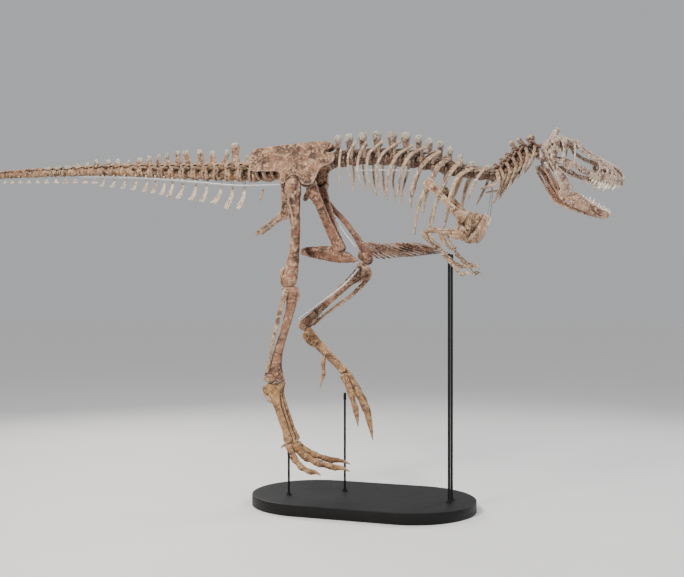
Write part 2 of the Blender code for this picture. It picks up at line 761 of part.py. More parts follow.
def near_leg(finish):
    """The right leg carries the stride: nearly straight down, foot just clear of the base."""
    hip, knee = (HIP_X, -HIP_Y, HIP_Z), (-0.545, -0.205, HIP_Z - FEMUR_LENGTH)
    leg(-1, "right", hip, knee, (-0.700, -0.190, 0.990), (-0.545, -0.180, 0.545), finish)
    third = (
        (-0.548, -0.180, 0.520),
        (-0.450, -0.176, 0.425),
        (-0.325, -0.168, 0.360),
        (-0.215, -0.160, 0.334),
        (-0.062, -0.152, 0.296),
    )
    toe("toe_3_right", third, 0.035, finish)
    second = (
        (-0.560, -0.124, 0.532),
        (-0.440, -0.088, 0.424),
        (-0.300, -0.062, 0.362),
        (-0.130, -0.040, 0.318),
    )
    toe("toe_2_right", second, 0.031, finish)
    fourth = (
        (-0.566, -0.236, 0.528),
        (-0.505, -0.254, 0.425),
        (-0.432, -0.264, 0.364),
        (-0.365, -0.270, 0.328),
        (-0.242, -0.278, 0.278),
    )
    toe("toe_4_right", fourth, 0.030, finish)
    first = ((-0.612, -0.112, 0.560), (-0.622, -0.104, 0.506), (-0.652, -0.098, 0.470))
    toe("hallux_right", first, 0.017, finish, claw_dip=0.0)


def far_leg(finish):
    """The left leg swings forward, knee high, foot hanging."""
    hip, knee = (HIP_X, HIP_Y + 0.014, HIP_Z - 0.012), (0.015, 0.215, 1.995)
    leg(1, "left", hip, knee, (-0.592, 0.180, 1.432), (-0.225, 0.155, 1.100), finish, 0.055, 0.085, 0.040)
    third = (
        (-0.212, 0.155, 1.075),
        (-0.122, 0.156, 0.965),
        (-0.030, 0.157, 0.820),
        (0.012, 0.157, 0.705),
        (0.040, 0.156, 0.535),
    )
    toe("toe_3_left", third, 0.034, finish)
    second = (
        (-0.236, 0.098, 1.086),
        (-0.155, 0.070, 0.960),
        (-0.100, 0.058, 0.830),
        (-0.070, 0.050, 0.655),
    )
    toe("toe_2_left", second, 0.030, finish)
    fourth = (
        (-0.232, 0.212, 1.082),
        (-0.165, 0.232, 0.985),
        (-0.105, 0.242, 0.890),
        (-0.065, 0.248, 0.800),
        (-0.030, 0.252, 0.670),
    )
    toe("toe_4_left", fourth, 0.029, finish)
    first = ((-0.352, 0.090, 1.165), (-0.362, 0.080, 1.060), (-0.385, 0.072, 0.935))
    toe("hallux_left", first, 0.017, finish, claw_dip=0.0)


# --- head, in the skull's own axes: X forward from the condyle, Z up ------------------------------
HEAD = Matrix.Translation(SKULL_AT) @ Matrix.Rotation(SKULL_YAW, 4, "Z") @ Matrix.Rotation(
    SKULL_PITCH, 4, "Y"
)

# Sections of the skull: x, bottom z, top z, half width at the cheek, half width at the roof
SKULL_SECTIONS = (
    (-0.020, -0.070, 0.112, 0.098, 0.066),
    (0.030, -0.088, 0.128, 0.116, 0.076),
    (0.115, -0.100, 0.130, 0.118, 0.070),
    (0.165, -0.098, 0.145, 0.108, 0.066),
    (0.250, -0.058, 0.118, 0.098, 0.046),
    (0.350, -0.086, 0.098, 0.084, 0.040),
    (0.470, -0.080, 0.084, 0.066, 0.034),
    (0.575, -0.055, 0.070, 0.048, 0.026),
    (0.635, -0.030, 0.020, 0.022, 0.012),
)


def skull_ring(x, bottom, top, cheek, roof):
    """An eight-sided section, widest a third of the way up."""
    high = bottom + (top - bottom) * 0.78
    third = bottom + (top - bottom) * 0.36
    left = (
        (cheek * 0.86, bottom),
        (cheek, third),
        (roof + (cheek - roof) * 0.35, high),
        (roof * 0.70, top),
    )
    right = [(-y, z) for y, z in reversed(left)]
    return [Vector((x, y, z)) for y, z in (*left, *right)]


def skull_width(x):
    """Half width of the cheek at x, between the sections."""
    for (x0, _, _, wide0, _), (x1, _, _, wide1, _) in zip(SKULL_SECTIONS, SKULL_SECTIONS[1:]):
        if x <= x1:
            share = max(0.0, (x - x0) / (x1 - x0))
            return wide0 + (wide1 - wide0) * share
    return SKULL_SECTIONS[-1][3]


def window(outline):
    """A cutter through both cheeks."""
    return solid([[Vector((x, y, z)) for x, z in outline] for y in (-0.2, 0.2)])


def oval(x, z, half_long, half_high, lean, count=6):
    """An oval outline whose upper end leans by `lean` along X."""
    points = []
    for k in range(count):
        turn = 2 * math.pi * (k + 0.5) / count
        rise = math.sin(turn)
        points.append((x + half_long * math.cos(turn) + lean * rise, z + half_high * rise))
    return points


def teeth(first_x, last_x, count, root_z, length, down, half_width):
    """Two rows of pointed teeth, longest at the middle of each row."""
    made = []
    for k in range(count):
        share = k / (count - 1)
        x = first_x + (last_x - first_x) * share
        long = length * (0.55 + 0.45 * math.sin(math.pi * (0.15 + 0.7 * share)))
        for side in (-1, 1):
            y = side * half_width(x)
            root = Vector((x, y, root_z(x) - down * 0.010))
            tip = Vector((x - 0.010, y * 0.98, root_z(x) + down * long))
            made.append(tube((root, tip), ((0.006, 0.009), (0.0015, 0.0015)), sides=3))
    return made


def upper_edge(x):
    """Height of the upper jaw's lower edge along the tooth row."""
    return -0.080 + 0.32 * max(0.0, x - 0.46)


def skull(finish):
    """Cheeks and roof as one shell, open below, with the braincase, quadrates and teeth."""
    outer = solid([skull_ring(*section) for section in SKULL_SECTIONS])
    wall = SKULL_WALL
    hollow = []
    for x, bottom, top, cheek, roof in (*SKULL_SECTIONS[1:4:2], *SKULL_SECTIONS[4:-1]):
        x = x - wall if x == SKULL_SECTIONS[-2][0] else x
        hollow.append(
            skull_ring(x, bottom - 0.03, top - wall * 1.3, cheek - wall, max(roof - wall, 0.010))
        )
    braincase = [
        tube(((-0.016, 0, 0.040), (0.120, 0, 0.075)), ((0.066, 0.062), (0.050, 0.046)), sides=6),
        tube(((-0.034, 0, -0.006), (0.010, 0, 0.010)), ((0.020, 0.020), (0.026, 0.026)), sides=6),
        tube(
            ((0.000, 0, 0.090), (-0.010, 0, 0.165), (-0.004, 0, 0.188)),
            ((0.074, 0.018), (0.058, 0.012), (0.026, 0.008)),
            across=(0, 1, 0),
            sides=6,
        ),
    ]
    for side in (-1, 1):
        quadrate = ((0.006, side * 0.092, 0.010), (0.022, side * 0.110, -0.092))
        braincase.append(tube(quadrate, ((0.020, 0.024), (0.024, 0.020)), sides=5))
    openings = [
        window(oval(0.052, 0.012, 0.020, 0.052, -0.018)),
        window(oval(0.126, 0.034, 0.026, 0.068, -0.018, count=8)),
        window(
            (
                (0.172, 0.092), (0.192, -0.006), (0.240, -0.034), (0.310, -0.050), (0.372, -0.020),
                (0.378, 0.010), (0.290, 0.066),
            )
        ),
        window(oval(0.428, 0.008, 0.011, 0.012, 0.0)),
        window(((0.495, 0.052), (0.590, 0.010), (0.606, 0.030), (0.570, 0.058))),
    ]
    upper = teeth(0.350, 0.600, 8, upper_edge, 0.050, -1, lambda x: skull_width(x) * 0.84)
    shell = bpy.data.objects.new("shell", outer)
    bpy.context.scene.collection.objects.link(shell)
    boolean(shell, "DIFFERENCE", [solid(hollow), *openings])
    walls = shell.data
    bpy.data.objects.remove(shell)
    bone("skull", turned([walls, *braincase, *upper], HEAD), finish)


# Sections of each half of the lower jaw: x, bottom z, top z, middle y
JAW_SECTIONS = (
    (-0.030, -0.050, 0.004, 0.112),
    (0.040, -0.098, -0.002, 0.114),
    (0.120, -0.152, 0.006, 0.108),
    (0.200, -0.150, 0.012, 0.098),
    (0.290, -0.112, 0.004, 0.082),
    (0.400, -0.080, 0.008, 0.062),
    (0.520, -0.056, 0.034, 0.036),
    (0.590, -0.030, 0.050, 0.016),
    (0.626, 0.006, 0.042, 0.012),
)


def jaw_middle(x):
    for (x0, _, _, y0), (x1, _, _, y1) in zip(JAW_SECTIONS, JAW_SECTIONS[1:]):
        if x <= x1:
            share = max(0.0, (x - x0) / (x1 - x0))
            return y0 + (y1 - y0) * share
    return JAW_SECTIONS[-1][3]


def jaw_top(x):
    for (x0, _, z0, _), (x1, _, z1, _) in zip(JAW_SECTIONS, JAW_SECTIONS[1:]):
        if x <= x1:
            share = max(0.0, (x - x0) / (x1 - x0))
            return z0 + (z1 - z0) * share
    return JAW_SECTIONS[-1][2]


def lower_jaw(finish):
    pieces = []
    for side in (-1, 1):
        rings = []
        for x, bottom, top, middle in JAW_SECTIONS:
            thick = 0.013 + 0.003 * math.sin(math.pi * min(1.0, max(0.0, x / 0.6)))
            corners = (
                (-thick, bottom + 0.012),
                (-thick, top - 0.010),
                (0, top),
                (thick, top - 0.010),
                (thick, bottom + 0.012),
                (0, bottom),
            )
            rings.append([Vector((x, side * middle + y, z)) for y, z in corners])
        pieces.append(solid(rings))
    pieces += teeth(0.370, 0.600, 7, jaw_top, 0.042, 1, jaw_middle)
    place = HEAD @ Matrix.Translation(JAW_HINGE) @ Matrix.Rotation(JAW_OPEN, 4, "Y")
    bone("lower_jaw", turned(pieces, place), finish)


# --- the stand ------------------------------------------------------------------------------------
BASE_ARC = 10  # facets of each half-round end
ROD_SIDES = 8
CHEST_ROD_X = 0.722
CHEST_ROD_Y = 0.050
CHEST_ROD_TOP = 2.020


def base(finish):
    """A slab with half-round ends and a small bevel on its upper edge."""
    straight = (BASE_LENGTH - BASE_WIDTH) / 2
    radius = BASE_WIDTH / 2
    outline = []
    for centre, start in ((straight, -math.pi / 2), (-straight, math.pi / 2)):
        for k in range(BASE_ARC + 1):
            turn = start + math.pi * k / BASE_ARC
            outline.append((centre + radius * math.cos(turn), radius * math.sin(turn)))
    bevel = 0.006
    rings = []
    for z, inset in ((0.0, 0.0), (BASE_HEIGHT - bevel, 0.0), (BASE_HEIGHT, bevel)):
        shrink = 1 - inset / radius
        rings.append([Vector((x * shrink, y * shrink, z)) for x, y in outline])
    bone("stand_base", [solid(rings)], finish)


def rod(name, points, radius, finish, sides=ROD_SIDES, across=(0, 1, 0)):
    bone(name, [tube(points, [(radius, radius)] * len(points), across=across, sides=sides)], finish)


def stand(black, steel):
    base(black)
    foot_z = BASE_HEIGHT + GAP
    for number, y in enumerate((-CHEST_ROD_Y, CHEST_ROD_Y), start=1):
        rod(
            f"stand_chest_rod_{number}",
            ((CHEST_ROD_X, y, foot_z), (CHEST_ROD_X, y, CHEST_ROD_TOP)),
            0.010,
            black,
        )
    rod("stand_foot_rod_right", ((-0.565, -0.180, foot_z), (-0.565, -0.180, 0.470)), 0.009, black)
    rod("stand_foot_rod_left", ((-0.187, 0.115, foot_z), (-0.187, 0.115, 0.900)), 0.009, black)
    tail_rod = (
        (-0.700, -0.070, 2.618), (-0.90, -0.050, 2.622), (-1.10, -0.040, 2.632), (-1.41, -0.040, 2.668),
        (-1.74, -0.038, 2.708), (-2.10, -0.036, 2.742), (-2.66, -0.036, 2.778),
    )
    rod("stand_tail_rod", tail_rod, 0.006, steel, sides=6)
    rod("stand_thigh_rod_left", ((-0.395, 0.135, 2.490), (-0.180, 0.140, 2.130)), 0.006, steel, sides=6)
    rod("stand_shin_rod_left", ((-0.085, 0.130, 1.915), (-0.540, 0.120, 1.500)), 0.006, steel, sides=6)


def main():
    for old in list(bpy.data.objects):
        bpy.data.objects.remove(old)
    bone_brown = material("bone_brown", (0.36, 0.23, 0.15), 0.62)
    bone_dark = material("bone_dark", (0.22, 0.13, 0.09), 0.62)
    bone_pale = material("bone_pale", (0.60, 0.50, 0.42), 0.58)
    bone_tan = material("bone_tan", (0.48, 0.34, 0.21), 0.60)
    black = material("stand_black", (0.012, 0.012, 0.013), 0.45)
    steel = material("stand_steel", (0.20, 0.20, 0.20), 0.40, 1.0)

    tail(bone_brown)
    trunk(bone_brown)
    neck(bone_dark)
    sacrum(bone_brown)
    ilium(-1, "ilium_right", bone_brown)
    ilium(1, "ilium_left", bone_brown)
    pubis(bone_dark)
    ischium(bone_brown)
    gastralia(bone_dark)
    for side, suffix in ((-1, "right"), (1, "left")):
        shoulder(side, f"scapula_{suffix}", bone_brown)
        arm(side, suffix, bone_brown)
    furcula(bone_pale)
    near_leg(bone_tan)
    far_leg(bone_tan)
    skull(bone_pale)
    lower_jaw(bone_pale)
    stand(black, steel)


main()
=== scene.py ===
"""A tyrannosaurid dinosaur skeleton, mounted in a running pose on an oval base with steel rods.

Metres, +Z up. The origin is the centre of the base's underside. +X runs from tail to head.
"""

import math

import bpy
import numpy as np
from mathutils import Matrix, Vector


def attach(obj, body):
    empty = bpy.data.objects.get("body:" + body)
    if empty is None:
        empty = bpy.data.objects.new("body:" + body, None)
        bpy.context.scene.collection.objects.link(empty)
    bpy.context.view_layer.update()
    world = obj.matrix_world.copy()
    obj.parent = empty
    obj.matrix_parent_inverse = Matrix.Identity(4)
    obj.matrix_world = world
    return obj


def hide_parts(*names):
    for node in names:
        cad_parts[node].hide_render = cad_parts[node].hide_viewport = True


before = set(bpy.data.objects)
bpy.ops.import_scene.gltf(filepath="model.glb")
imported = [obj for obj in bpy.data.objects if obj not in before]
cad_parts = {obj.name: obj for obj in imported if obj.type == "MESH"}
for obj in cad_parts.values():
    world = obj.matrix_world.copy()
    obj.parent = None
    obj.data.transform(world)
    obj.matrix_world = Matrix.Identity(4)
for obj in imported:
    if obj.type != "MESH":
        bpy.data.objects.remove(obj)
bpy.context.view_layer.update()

# --- the room --------------------------------------------------------------------------------------
# A pale seamless floor with a high key light, a broad fill and two rim lights, as a museum
# would light a mount. The camera stands level at chest height, seven metres from the hips.
YAW = math.radians(19)
AHEAD, BACK, EYE_HEIGHT = -0.163, 7.26, 1.59
FRAME_WIDTH, FOCAL, RISE = 684, 900, 20.5  # pixels
SENSOR = 36
EYE = (
    AHEAD * math.cos(YAW) + BACK * math.sin(YAW), AHEAD * math.sin(YAW) - BACK * math.cos(YAW), EYE_HEIGHT
)
eye = bpy.data.objects.new("eye", bpy.data.cameras.new("eye"))
bpy.context.scene.collection.objects.link(eye)
eye.location = EYE
eye.rotation_euler = (math.radians(90), 0, YAW)
eye.data.sensor_width = SENSOR
eye.data.lens = FOCAL / FRAME_WIDTH * SENSOR
eye.data.shift_y = RISE / FRAME_WIDTH
bpy.context.scene.camera = eye

LAMPS = (
    # place, aim, size, watts, colour
    ((-1.6, -5.4, 6.4), (-0.2, 0.0, 2.2), 1.6, 620, (1.0, 0.955, 0.90)),
    ((5.2, -3.4, 4.2), (0.4, 0.0, 2.2), 3.0, 110, (0.93, 0.96, 1.0)),
    ((-5.0, 3.6, 4.8), (-1.0, 0.0, 2.4), 3.0, 300, (1.0, 0.97, 0.93)),
    ((3.6, 4.6, 5.4), (0.6, 0.0, 2.4), 3.0, 260, (0.95, 0.97, 1.0)),
)
for number, (place, aim, size, watts, colour) in enumerate(LAMPS):
    lamp = bpy.data.objects.new(f"lamp_{number}", bpy.data.lights.new(f"lamp_{number}", "AREA"))
    bpy.context.scene.collection.objects.link(lamp)
    lamp.location = place
    lamp.rotation_euler = (Vector(aim) - Vector(place)).to_track_quat("-Z", "Y").to_euler()
    lamp.data.size = size
    lamp.data.energy = watts
    lamp.data.color = colour

# The light that comes off the walls and ceiling of a long hall, from the key's side.
hall = bpy.data.objects.new("hall_light", bpy.data.lights.new("hall_light", "SUN"))
bpy.context.scene.collection.objects.link(hall)
hall.rotation_euler = Vector((0.25, 0.75, -1.0)).to_track_quat("-Z", "Y").to_euler()
hall.data.energy = 0.62
hall.data.angle = math.radians(30)

world = bpy.data.worlds.new("studio")
world.use_nodes = True
world.node_tree.nodes["Background"].inputs["Color"].default_value = (0.80, 0.81, 0.83, 1)
world.node_tree.nodes["Background"].inputs["Strength"].default_value = 0.56
bpy.context.scene.world = world


class Value:
    """A number that changes over a surface. Each operator adds its own Math node to the finish."""

    def __init__(self, finish, socket):
        self.finish = finish
        self.socket = socket

    def __add__(self, other):
        return self.finish.math("ADD", self, other)

    def __sub__(self, other):
        return self.finish.math("SUBTRACT", self, other)

    def __rsub__(self, other):
        return self.finish.math("SUBTRACT", other, self)

    def __mul__(self, other):
        return self.finish.math("MULTIPLY", self, other)

    def __pow__(self, other):
        return self.finish.math("POWER", self, other)

    __radd__ = __add__
    __rmul__ = __mul__


class Finish:
    """One procedural material, and the methods that add nodes to it."""

    def __init__(self, name, **constants):
        self.material = bpy.data.materials.new(name)
        self.material.use_nodes = True
        self.tree = self.material.node_tree
        self.shader = self.tree.nodes["Principled BSDF"]
        for socket, number in constants.items():
            self.shader.inputs[socket.replace("_", " ")].default_value = number

    def node(self, kind, settings, inputs, output=0):
        """Adds a node: its settings are set first, then its sockets get a number or a link."""
        made = self.tree.nodes.new(kind)
        for name, setting in settings.items():
            setattr(made, name, setting)
        for place, given in inputs.items():
            if isinstance(given, Value):
                self.tree.links.new(given.socket, made.inputs[place])
            else:
                made.inputs[place].default_value = given
        return Value(self, made.outputs[output])

    def math(self, operation, first, second, clamp=False):
        return self.node(
            "ShaderNodeMath", {"operation": operation, "use_clamp": clamp}, {0: first, 1: second}
        )

    def step(self, value, low, high):
        """0 below `low` and 1 above `high`, with a smooth rise between."""
        return self.node(
            "ShaderNodeMapRange", {"interpolation_type": "SMOOTHSTEP"}, {0: value, 1: low, 2: high}
        )

    def blend(self, share, first, second, kind="MIX"):
        """The two colours mixed by `share`."""
        settings = {"data_type": "RGBA", "blend_type": kind}
        colours = [c if isinstance(c, Value) else (*c, 1.0) for c in (first, second)]
        return self.node("ShaderNodeMix", settings, {0: share, 6: colours[0], 7: colours[1]}, 2)

    def place(self, stretch=(1, 1, 1), turn=(0, 0, 0), shift=(0, 0, 0)):
        """Object coordinates, in metres, moved, turned and stretched."""
        own = self.node("ShaderNodeTexCoord", {}, {}, "Object")
        return self.node("ShaderNodeMapping", {}, {0: own, 1: shift, 2: turn, 3: stretch})

    def noise(self, place, scale, detail=4.0, rough=0.55, bend=0.0):
        inputs = {"Vector": place, "Scale": scale, "Detail": detail, "Roughness": rough, "Distortion": bend}
        return self.node("ShaderNodeTexNoise", {}, inputs, "Fac")

    def cells(self, place, scale, feature="DISTANCE_TO_EDGE"):
        inputs = {"Vector": place, "Scale": scale}
        return self.node("ShaderNodeTexVoronoi", {"feature": feature}, inputs, "Distance")

    def bent(self, place, by, scale):
        """The coordinates pushed about by noise, so that a pattern loses its straight lines."""
        push = self.node(
            "ShaderNodeTexNoise", {}, {"Vector": place, "Scale": scale, "Detail": 2.0}, "Color"
        )
        push = self.node("ShaderNodeVectorMath", {"operation": "SUBTRACT"}, {0: push, 1: (0.5, 0.5, 0.5)})
        push = self.node("ShaderNodeVectorMath", {"operation": "SCALE"}, {0: push, "Scale": by})
        return self.node("ShaderNodeVectorMath", {"operation": "ADD"}, {0: place, 1: push})

    def finish(self, colour, roughness, height, depth):
        """Links the three things that change over the surface: colour, roughness and relief."""
        bump = self.node(
            "ShaderNodeBump", {}, {"Distance": depth, "Strength": 0.9, "Height": height}, "Normal"
        )
        self.tree.links.new(colour.socket, self.shader.inputs["Base Color"])
        self.tree.links.new(roughness.socket, self.shader.inputs["Roughness"])
        self.tree.links.new(bump.socket, self.shader.inputs["Normal"])
        return self.material


def floor_finish():
    made = Finish("floor_paint")
    place = made.place()
    cloud = made.noise(place, 0.7)
    grain = made.noise(place, 60.0, 2.0)
    colour = made.blend(cloud, (0.72, 0.712, 0.70), (0.77, 0.763, 0.752))
    return made.finish(colour, 0.62 + cloud * 0.12, grain, 0.0004)


def joined(name, parts, finish, smooth=True):
    """One object from closed surfaces, each given as its points, its four-sided faces and its fans."""
    points, quads, fans, count = [], [], [], 0
    for part_points, part_quads, part_fans in parts:
        points.append(part_points)
        quads.append(part_quads + count)
        fans.append(part_fans + count)
        count += len(part_points)
    points, quads, fans = (np.concatenate(rows) for rows in (points, quads, fans))
    mesh = bpy.data.meshes.new(name)
    mesh.vertices.add(count)
    mesh.vertices.foreach_set("co", points.astype(np.float32).ravel())
    corners = np.concatenate([quads.ravel(), fans.ravel()]).astype(np.int32)
    mesh.loops.add(len(corners))
    mesh.loops.foreach_set("vertex_index", corners)
    starts = [np.arange(len(quads)) * 4, len(quads) * 4 + np.arange(len(fans)) * 3]
    starts = np.concatenate(starts).astype(np.int32)
    mesh.polygons.add(len(starts))
    mesh.polygons.foreach_set("loop_start", starts)
    mesh.update(calc_edges=True)
    mesh.validate()
    if smooth:
        mesh.shade_smooth()
    mesh.materials.append(finish)
    made = bpy.data.objects.new(name, mesh)
    bpy.context.scene.collection.objects.link(made)
    return made


FLOOR_HALF = 90.0
corners = np.array(((-1, -1, 0), (1, -1, 0), (1, 1, 0), (-1, 1, 0))) * FLOOR_HALF
floor = joined("floor", [(corners, np.array([[0, 1, 2, 3]]), np.zeros((0, 3), int))], floor_finish())

# --- the stand -------------------------------------------------------------------------------------
# A thick oval slab of steel, painted satin black, stands on the floor. Round rods are screwed into
# it through small flanges and carry the chest and both feet.
BASE_LENGTH = 1.84
BASE_WIDTH = 1.06
BASE_HEIGHT = 0.09


def paint_finish():
    """Satin black paint: fine orange peel, dust on the flats and rubbed spots."""
    made = Finish("satin_black", Specular_IOR_Level=0.18)
    place = made.place()
    dust = made.noise(place, 5.0, 5.0)
    speck = made.step(made.noise(place, 240.0, 2.0), 0.66, 0.74)
    colour = made.blend(dust * 0.55, (0.004, 0.004, 0.0045), (0.016, 0.015, 0.014))
    colour = made.blend(speck * 0.12, colour, (0.12, 0.115, 0.11))
    rough = 0.40 + dust * 0.24 + speck * 0.12
    return made.finish(colour, rough, made.noise(place, 420.0, 2.0), 0.0006)


def steel_finish(name, dark, light):
    """Steel rod, burnished where it was bent, with fine draw marks."""
    made = Finish(name, Metallic=0.85)
    place = made.place()
    cloud = made.noise(place, 16.0, 5.0)
    marks = made.noise(made.place(stretch=(14, 260, 260)), 1.0, 2.0)
    colour = made.blend(cloud, dark, light)
    return made.finish(colour, 0.30 + cloud * 0.22 + marks * 0.08, marks, 0.0005)


black_paint = paint_finish()
dark_steel = steel_finish("blackened_steel", (0.10, 0.10, 0.105), (0.34, 0.34, 0.345))
bright_steel = steel_finish("drawn_steel", (0.42, 0.42, 0.425), (0.66, 0.66, 0.665))


def closed(rings, first, last):
    """Rings of equal count, (rows, sides, 3), as a skin that ends in the points `first` and `last`.

    Row r and side s give point 1 + r * sides + s, and the last side joins the first one.
    """
    rows, sides, _ = rings.shape
    points = np.concatenate([[first], rings.reshape(-1, 3), [last]])
    r, s = np.meshgrid(np.arange(rows - 1), np.arange(sides), indexing="ij")
    here = 1 + r * sides + s
    beside = 1 + r * sides + (s + 1) % sides
    quads = np.stack([here, beside, beside + sides, here + sides], -1).reshape(-1, 4)
    s = np.arange(sides)
    low = np.stack([np.zeros(sides, int), 1 + (s + 1) % sides, 1 + s], -1)
    top = 1 + (rows - 1) * sides
    high = np.stack([np.full(sides, len(points) - 1), top + s, top + (s + 1) % sides], -1)
    return points, quads, np.concatenate([low, high])


def slab(length, width, height, rim, sides=144):
    """A slab with half-round ends: its outline is scaled about the centre along an edge profile.

    Each row of the profile is (share of the outline, height): flat below, upright at the side, a
    quarter round of radius `rim` at the upper edge, and flat on top.
    """
    turn = np.linspace(0, 2 * np.pi, sides, endpoint=False)
    outline = np.stack([np.cos(turn), np.sin(turn)], -1) * width / 2
    outline[:, 0] += np.where(np.cos(turn) >= 0, 1, -1) * (length - width) / 2
    arc = np.linspace(0, np.pi / 2, 6)
    inset = np.concatenate([[0.30, 0.02, 0.004, 0.0], rim * (1 - np.cos(arc)), [0.03, 0.20]])
    level = np.concatenate([[0.0, 0.0, 0.0, 0.004], height - rim * (1 - np.sin(arc)), [height, height]])
    share = 1 - inset / (width / 2)
    rings = np.empty((len(share), sides, 3))
    rings[..., :2] = share[:, None, None] * outline
    rings[..., 2] = level[:, None]
    return closed(rings, (0, 0, 0), (0, 0, height))


base = joined("stand_base_slab", [slab(BASE_LENGTH, BASE_WIDTH, BASE_HEIGHT, 0.007)], black_paint)
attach(base, "root")
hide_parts("stand_base")


def turned_piece(at, rows, sides=28):
    """A turned steel part: (height, radius) rows carried once round the upright through `at`."""
    rows = np.asarray(rows, float)
    turn = np.linspace(0, 2 * np.pi, sides, endpoint=False)
    rings = np.empty((len(rows), sides, 3))
    rings[..., 0] = at[0] + rows[:, 1:] * np.cos(turn)
    rings[..., 1] = at[1] + rows[:, 1:] * np.sin(turn)
    rings[..., 2] = at[2] + rows[:, :1]
    low, high = (np.array([at[0], at[1], at[2] + z]) for z in (rows[0, 0], rows[-1, 0]))
    return closed(rings, low, high)


# node, foot of the rod, its top, its radius
RODS = (
    ("stand_chest_rod_1", (0.722, -0.050), 2.020, 0.010),
    ("stand_chest_rod_2", (0.722, 0.050), 2.020, 0.010),
    ("stand_foot_rod_right", (-0.565, -0.180), 0.470, 0.009),
    ("stand_foot_rod_left", (-0.187, 0.115), 0.900, 0.009),
)
FLANGE = 0.026  # radius of the flange at a rod's foot
for node, (x, y), top, radius in RODS:
    foot = BASE_HEIGHT - 0.002
    rows = (
        (0.0, FLANGE), (0.007, FLANGE), (0.0085, FLANGE - 0.0015), (0.009, radius + 0.005),
        (0.024, radius + 0.004), (0.026, radius + 0.0025), (0.0265, radius), (top - foot - 0.060, radius),
        (top - foot - 0.058, radius + 0.003), (top - foot - 0.012, radius + 0.003),
        (top - foot - 0.002, radius), (top - foot, radius * 0.8),
    )
    rod = joined(node.replace("stand_", "") + "_steel", [turned_piece((x, y, foot), rows)], black_paint)
    rod.data.set_sharp_from_angle(angle=math.radians(40))
    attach(rod, "root")
    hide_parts(node)

# --- hips ------------------------------------------------------------------------------------------
# The real fossil bone: brown permineralised bone, mottled tan and red-brown, cracked and patched.
# Five sacral vertebrae are fused between two tall hip blades; pubes and ischia hang below them.
HIP_X = -0.52
HIP_Y = 0.205
HIP_Z = 2.62
X, Y, Z = np.eye(3)


def bone_finish(name, pale, main, dark, grain=(6, 6, 6), crack=9.0, mottle=6.0, shift=0.0, gloss=0.0):
    """Fossil bone: blotches of three browns, fibres, cracks, pores and worn edges, with painted shade in the
    hollows.

    `grain` stretches the fibre pattern, so its smallest number is the way that the fibres run.
    """
    made = Finish(name, Specular_IOR_Level=0.42)
    place = made.place(shift=(shift, shift * 0.7, -shift))
    relief = made.node("ShaderNodeAttribute", {"attribute_name": "relief"}, {}, "Fac")
    cloud = made.noise(place, mottle, 6.0, 0.62, 0.6)
    patch = made.noise(place, mottle * 3.7, 6.0, 0.68, 0.9)
    fibre = made.noise(made.place(stretch=grain, shift=(shift, 0, 0)), 22.0, 4.0, 0.6, 0.4)
    speck = made.noise(place, 150.0, 3.0, 0.6)
    edge = made.cells(made.bent(place, 0.030, 7.0), crack)
    broken = made.step(made.noise(place, crack * 0.45, 2.0), 0.44, 0.60)
    cracks = (1 - made.step(edge, 0.004, 0.030)) * broken
    fine = (1 - made.step(made.cells(made.bent(place, 0.012, 30.0), crack * 4.3), 0.01, 0.07)) * 0.5
    pores = made.step(speck, 0.60, 0.72)
    # Where the surface lies in a hollow. Its colour is darkened below as painted shade, and it is also made
    # rougher.
    hollow = made.step(relief, 0.04, 0.55)
    worn = made.step(relief * -1.0, 0.10, 0.75)
    colour = made.blend(made.step(cloud, 0.39, 0.57), dark, main)
    colour = made.blend(made.step(patch, 0.47, 0.62) * 0.88, colour, pale)
    rust = tuple(0.75 * d + 0.25 * m for d, m in zip((0.21, 0.075, 0.035), main))
    colour = made.blend(
        made.step(made.noise(place, mottle * 1.7, 5.0, 0.6), 0.56, 0.70) * 0.55, colour, rust
    )
    colour = made.blend(made.step(fibre, 0.52, 0.74) * 0.42, colour, tuple(0.55 * d for d in dark))
    colour = made.blend(worn * 0.50, colour, tuple(0.10 + 0.84 * p for p in pale))
    tip = made.node("ShaderNodeAttribute", {"attribute_name": "tip"}, {}, "Fac")
    tip = made.step(tip + (patch - 0.5) * 1.2, 0.30, 0.85)
    colour = made.blend(tip * 0.66, colour, (0.52, 0.48, 0.385))
    # Painted shade: the hollows are darkened well past the darkest brown.
    colour = made.blend(hollow * 0.78, colour, tuple(0.42 * d for d in dark))
    colour = made.blend(pores * 0.40, colour, tuple(0.5 * d for d in dark))
    colour = made.blend(made.math("MAXIMUM", cracks, fine) * 0.80, colour, tuple(0.25 * d for d in dark))
    rough = 0.60 - gloss + patch * 0.16 + hollow * 0.16 - worn * 0.14
    height = cloud * 0.5 + patch * 0.5 + fibre * 0.35 - pores * 0.35 - cracks * 1.0 - fine * 0.3
    return made.finish(colour, rough, height, 0.0035)


hip_bone = bone_finish(
    "hip_bone", (0.5, 0.325, 0.205), (0.235, 0.118, 0.062), (0.055, 0.02, 0.01), (3, 12, 12), mottle=8.0,
    crack=7.0,
)
belly_bone = bone_finish(
    "belly_bone", (0.42, 0.235, 0.14), (0.185, 0.074, 0.04), (0.05, 0.018, 0.01), (10, 10, 3), shift=1.3
)


def lumps(points, width, turn):
    """A smooth rise and fall between -1 and 1 about `width` apart.

    The mean of three sines, each along its own slanting direction and shifted by the one before.
    """
    wave = 2 * np.pi / width
    first = np.sin(points @ np.array([0.8, 0.36, 0.48]) * wave + turn)
    second = np.sin(points @ np.array([-0.42, 0.9, 0.11]) * wave * 1.31 + 1.7 * first + 2.1 * turn)
    third = np.sin(points @ np.array([0.2, -0.5, 0.84]) * wave * 0.83 + 1.3 * second + 0.7 * turn)
    return (first + second + third) / 3


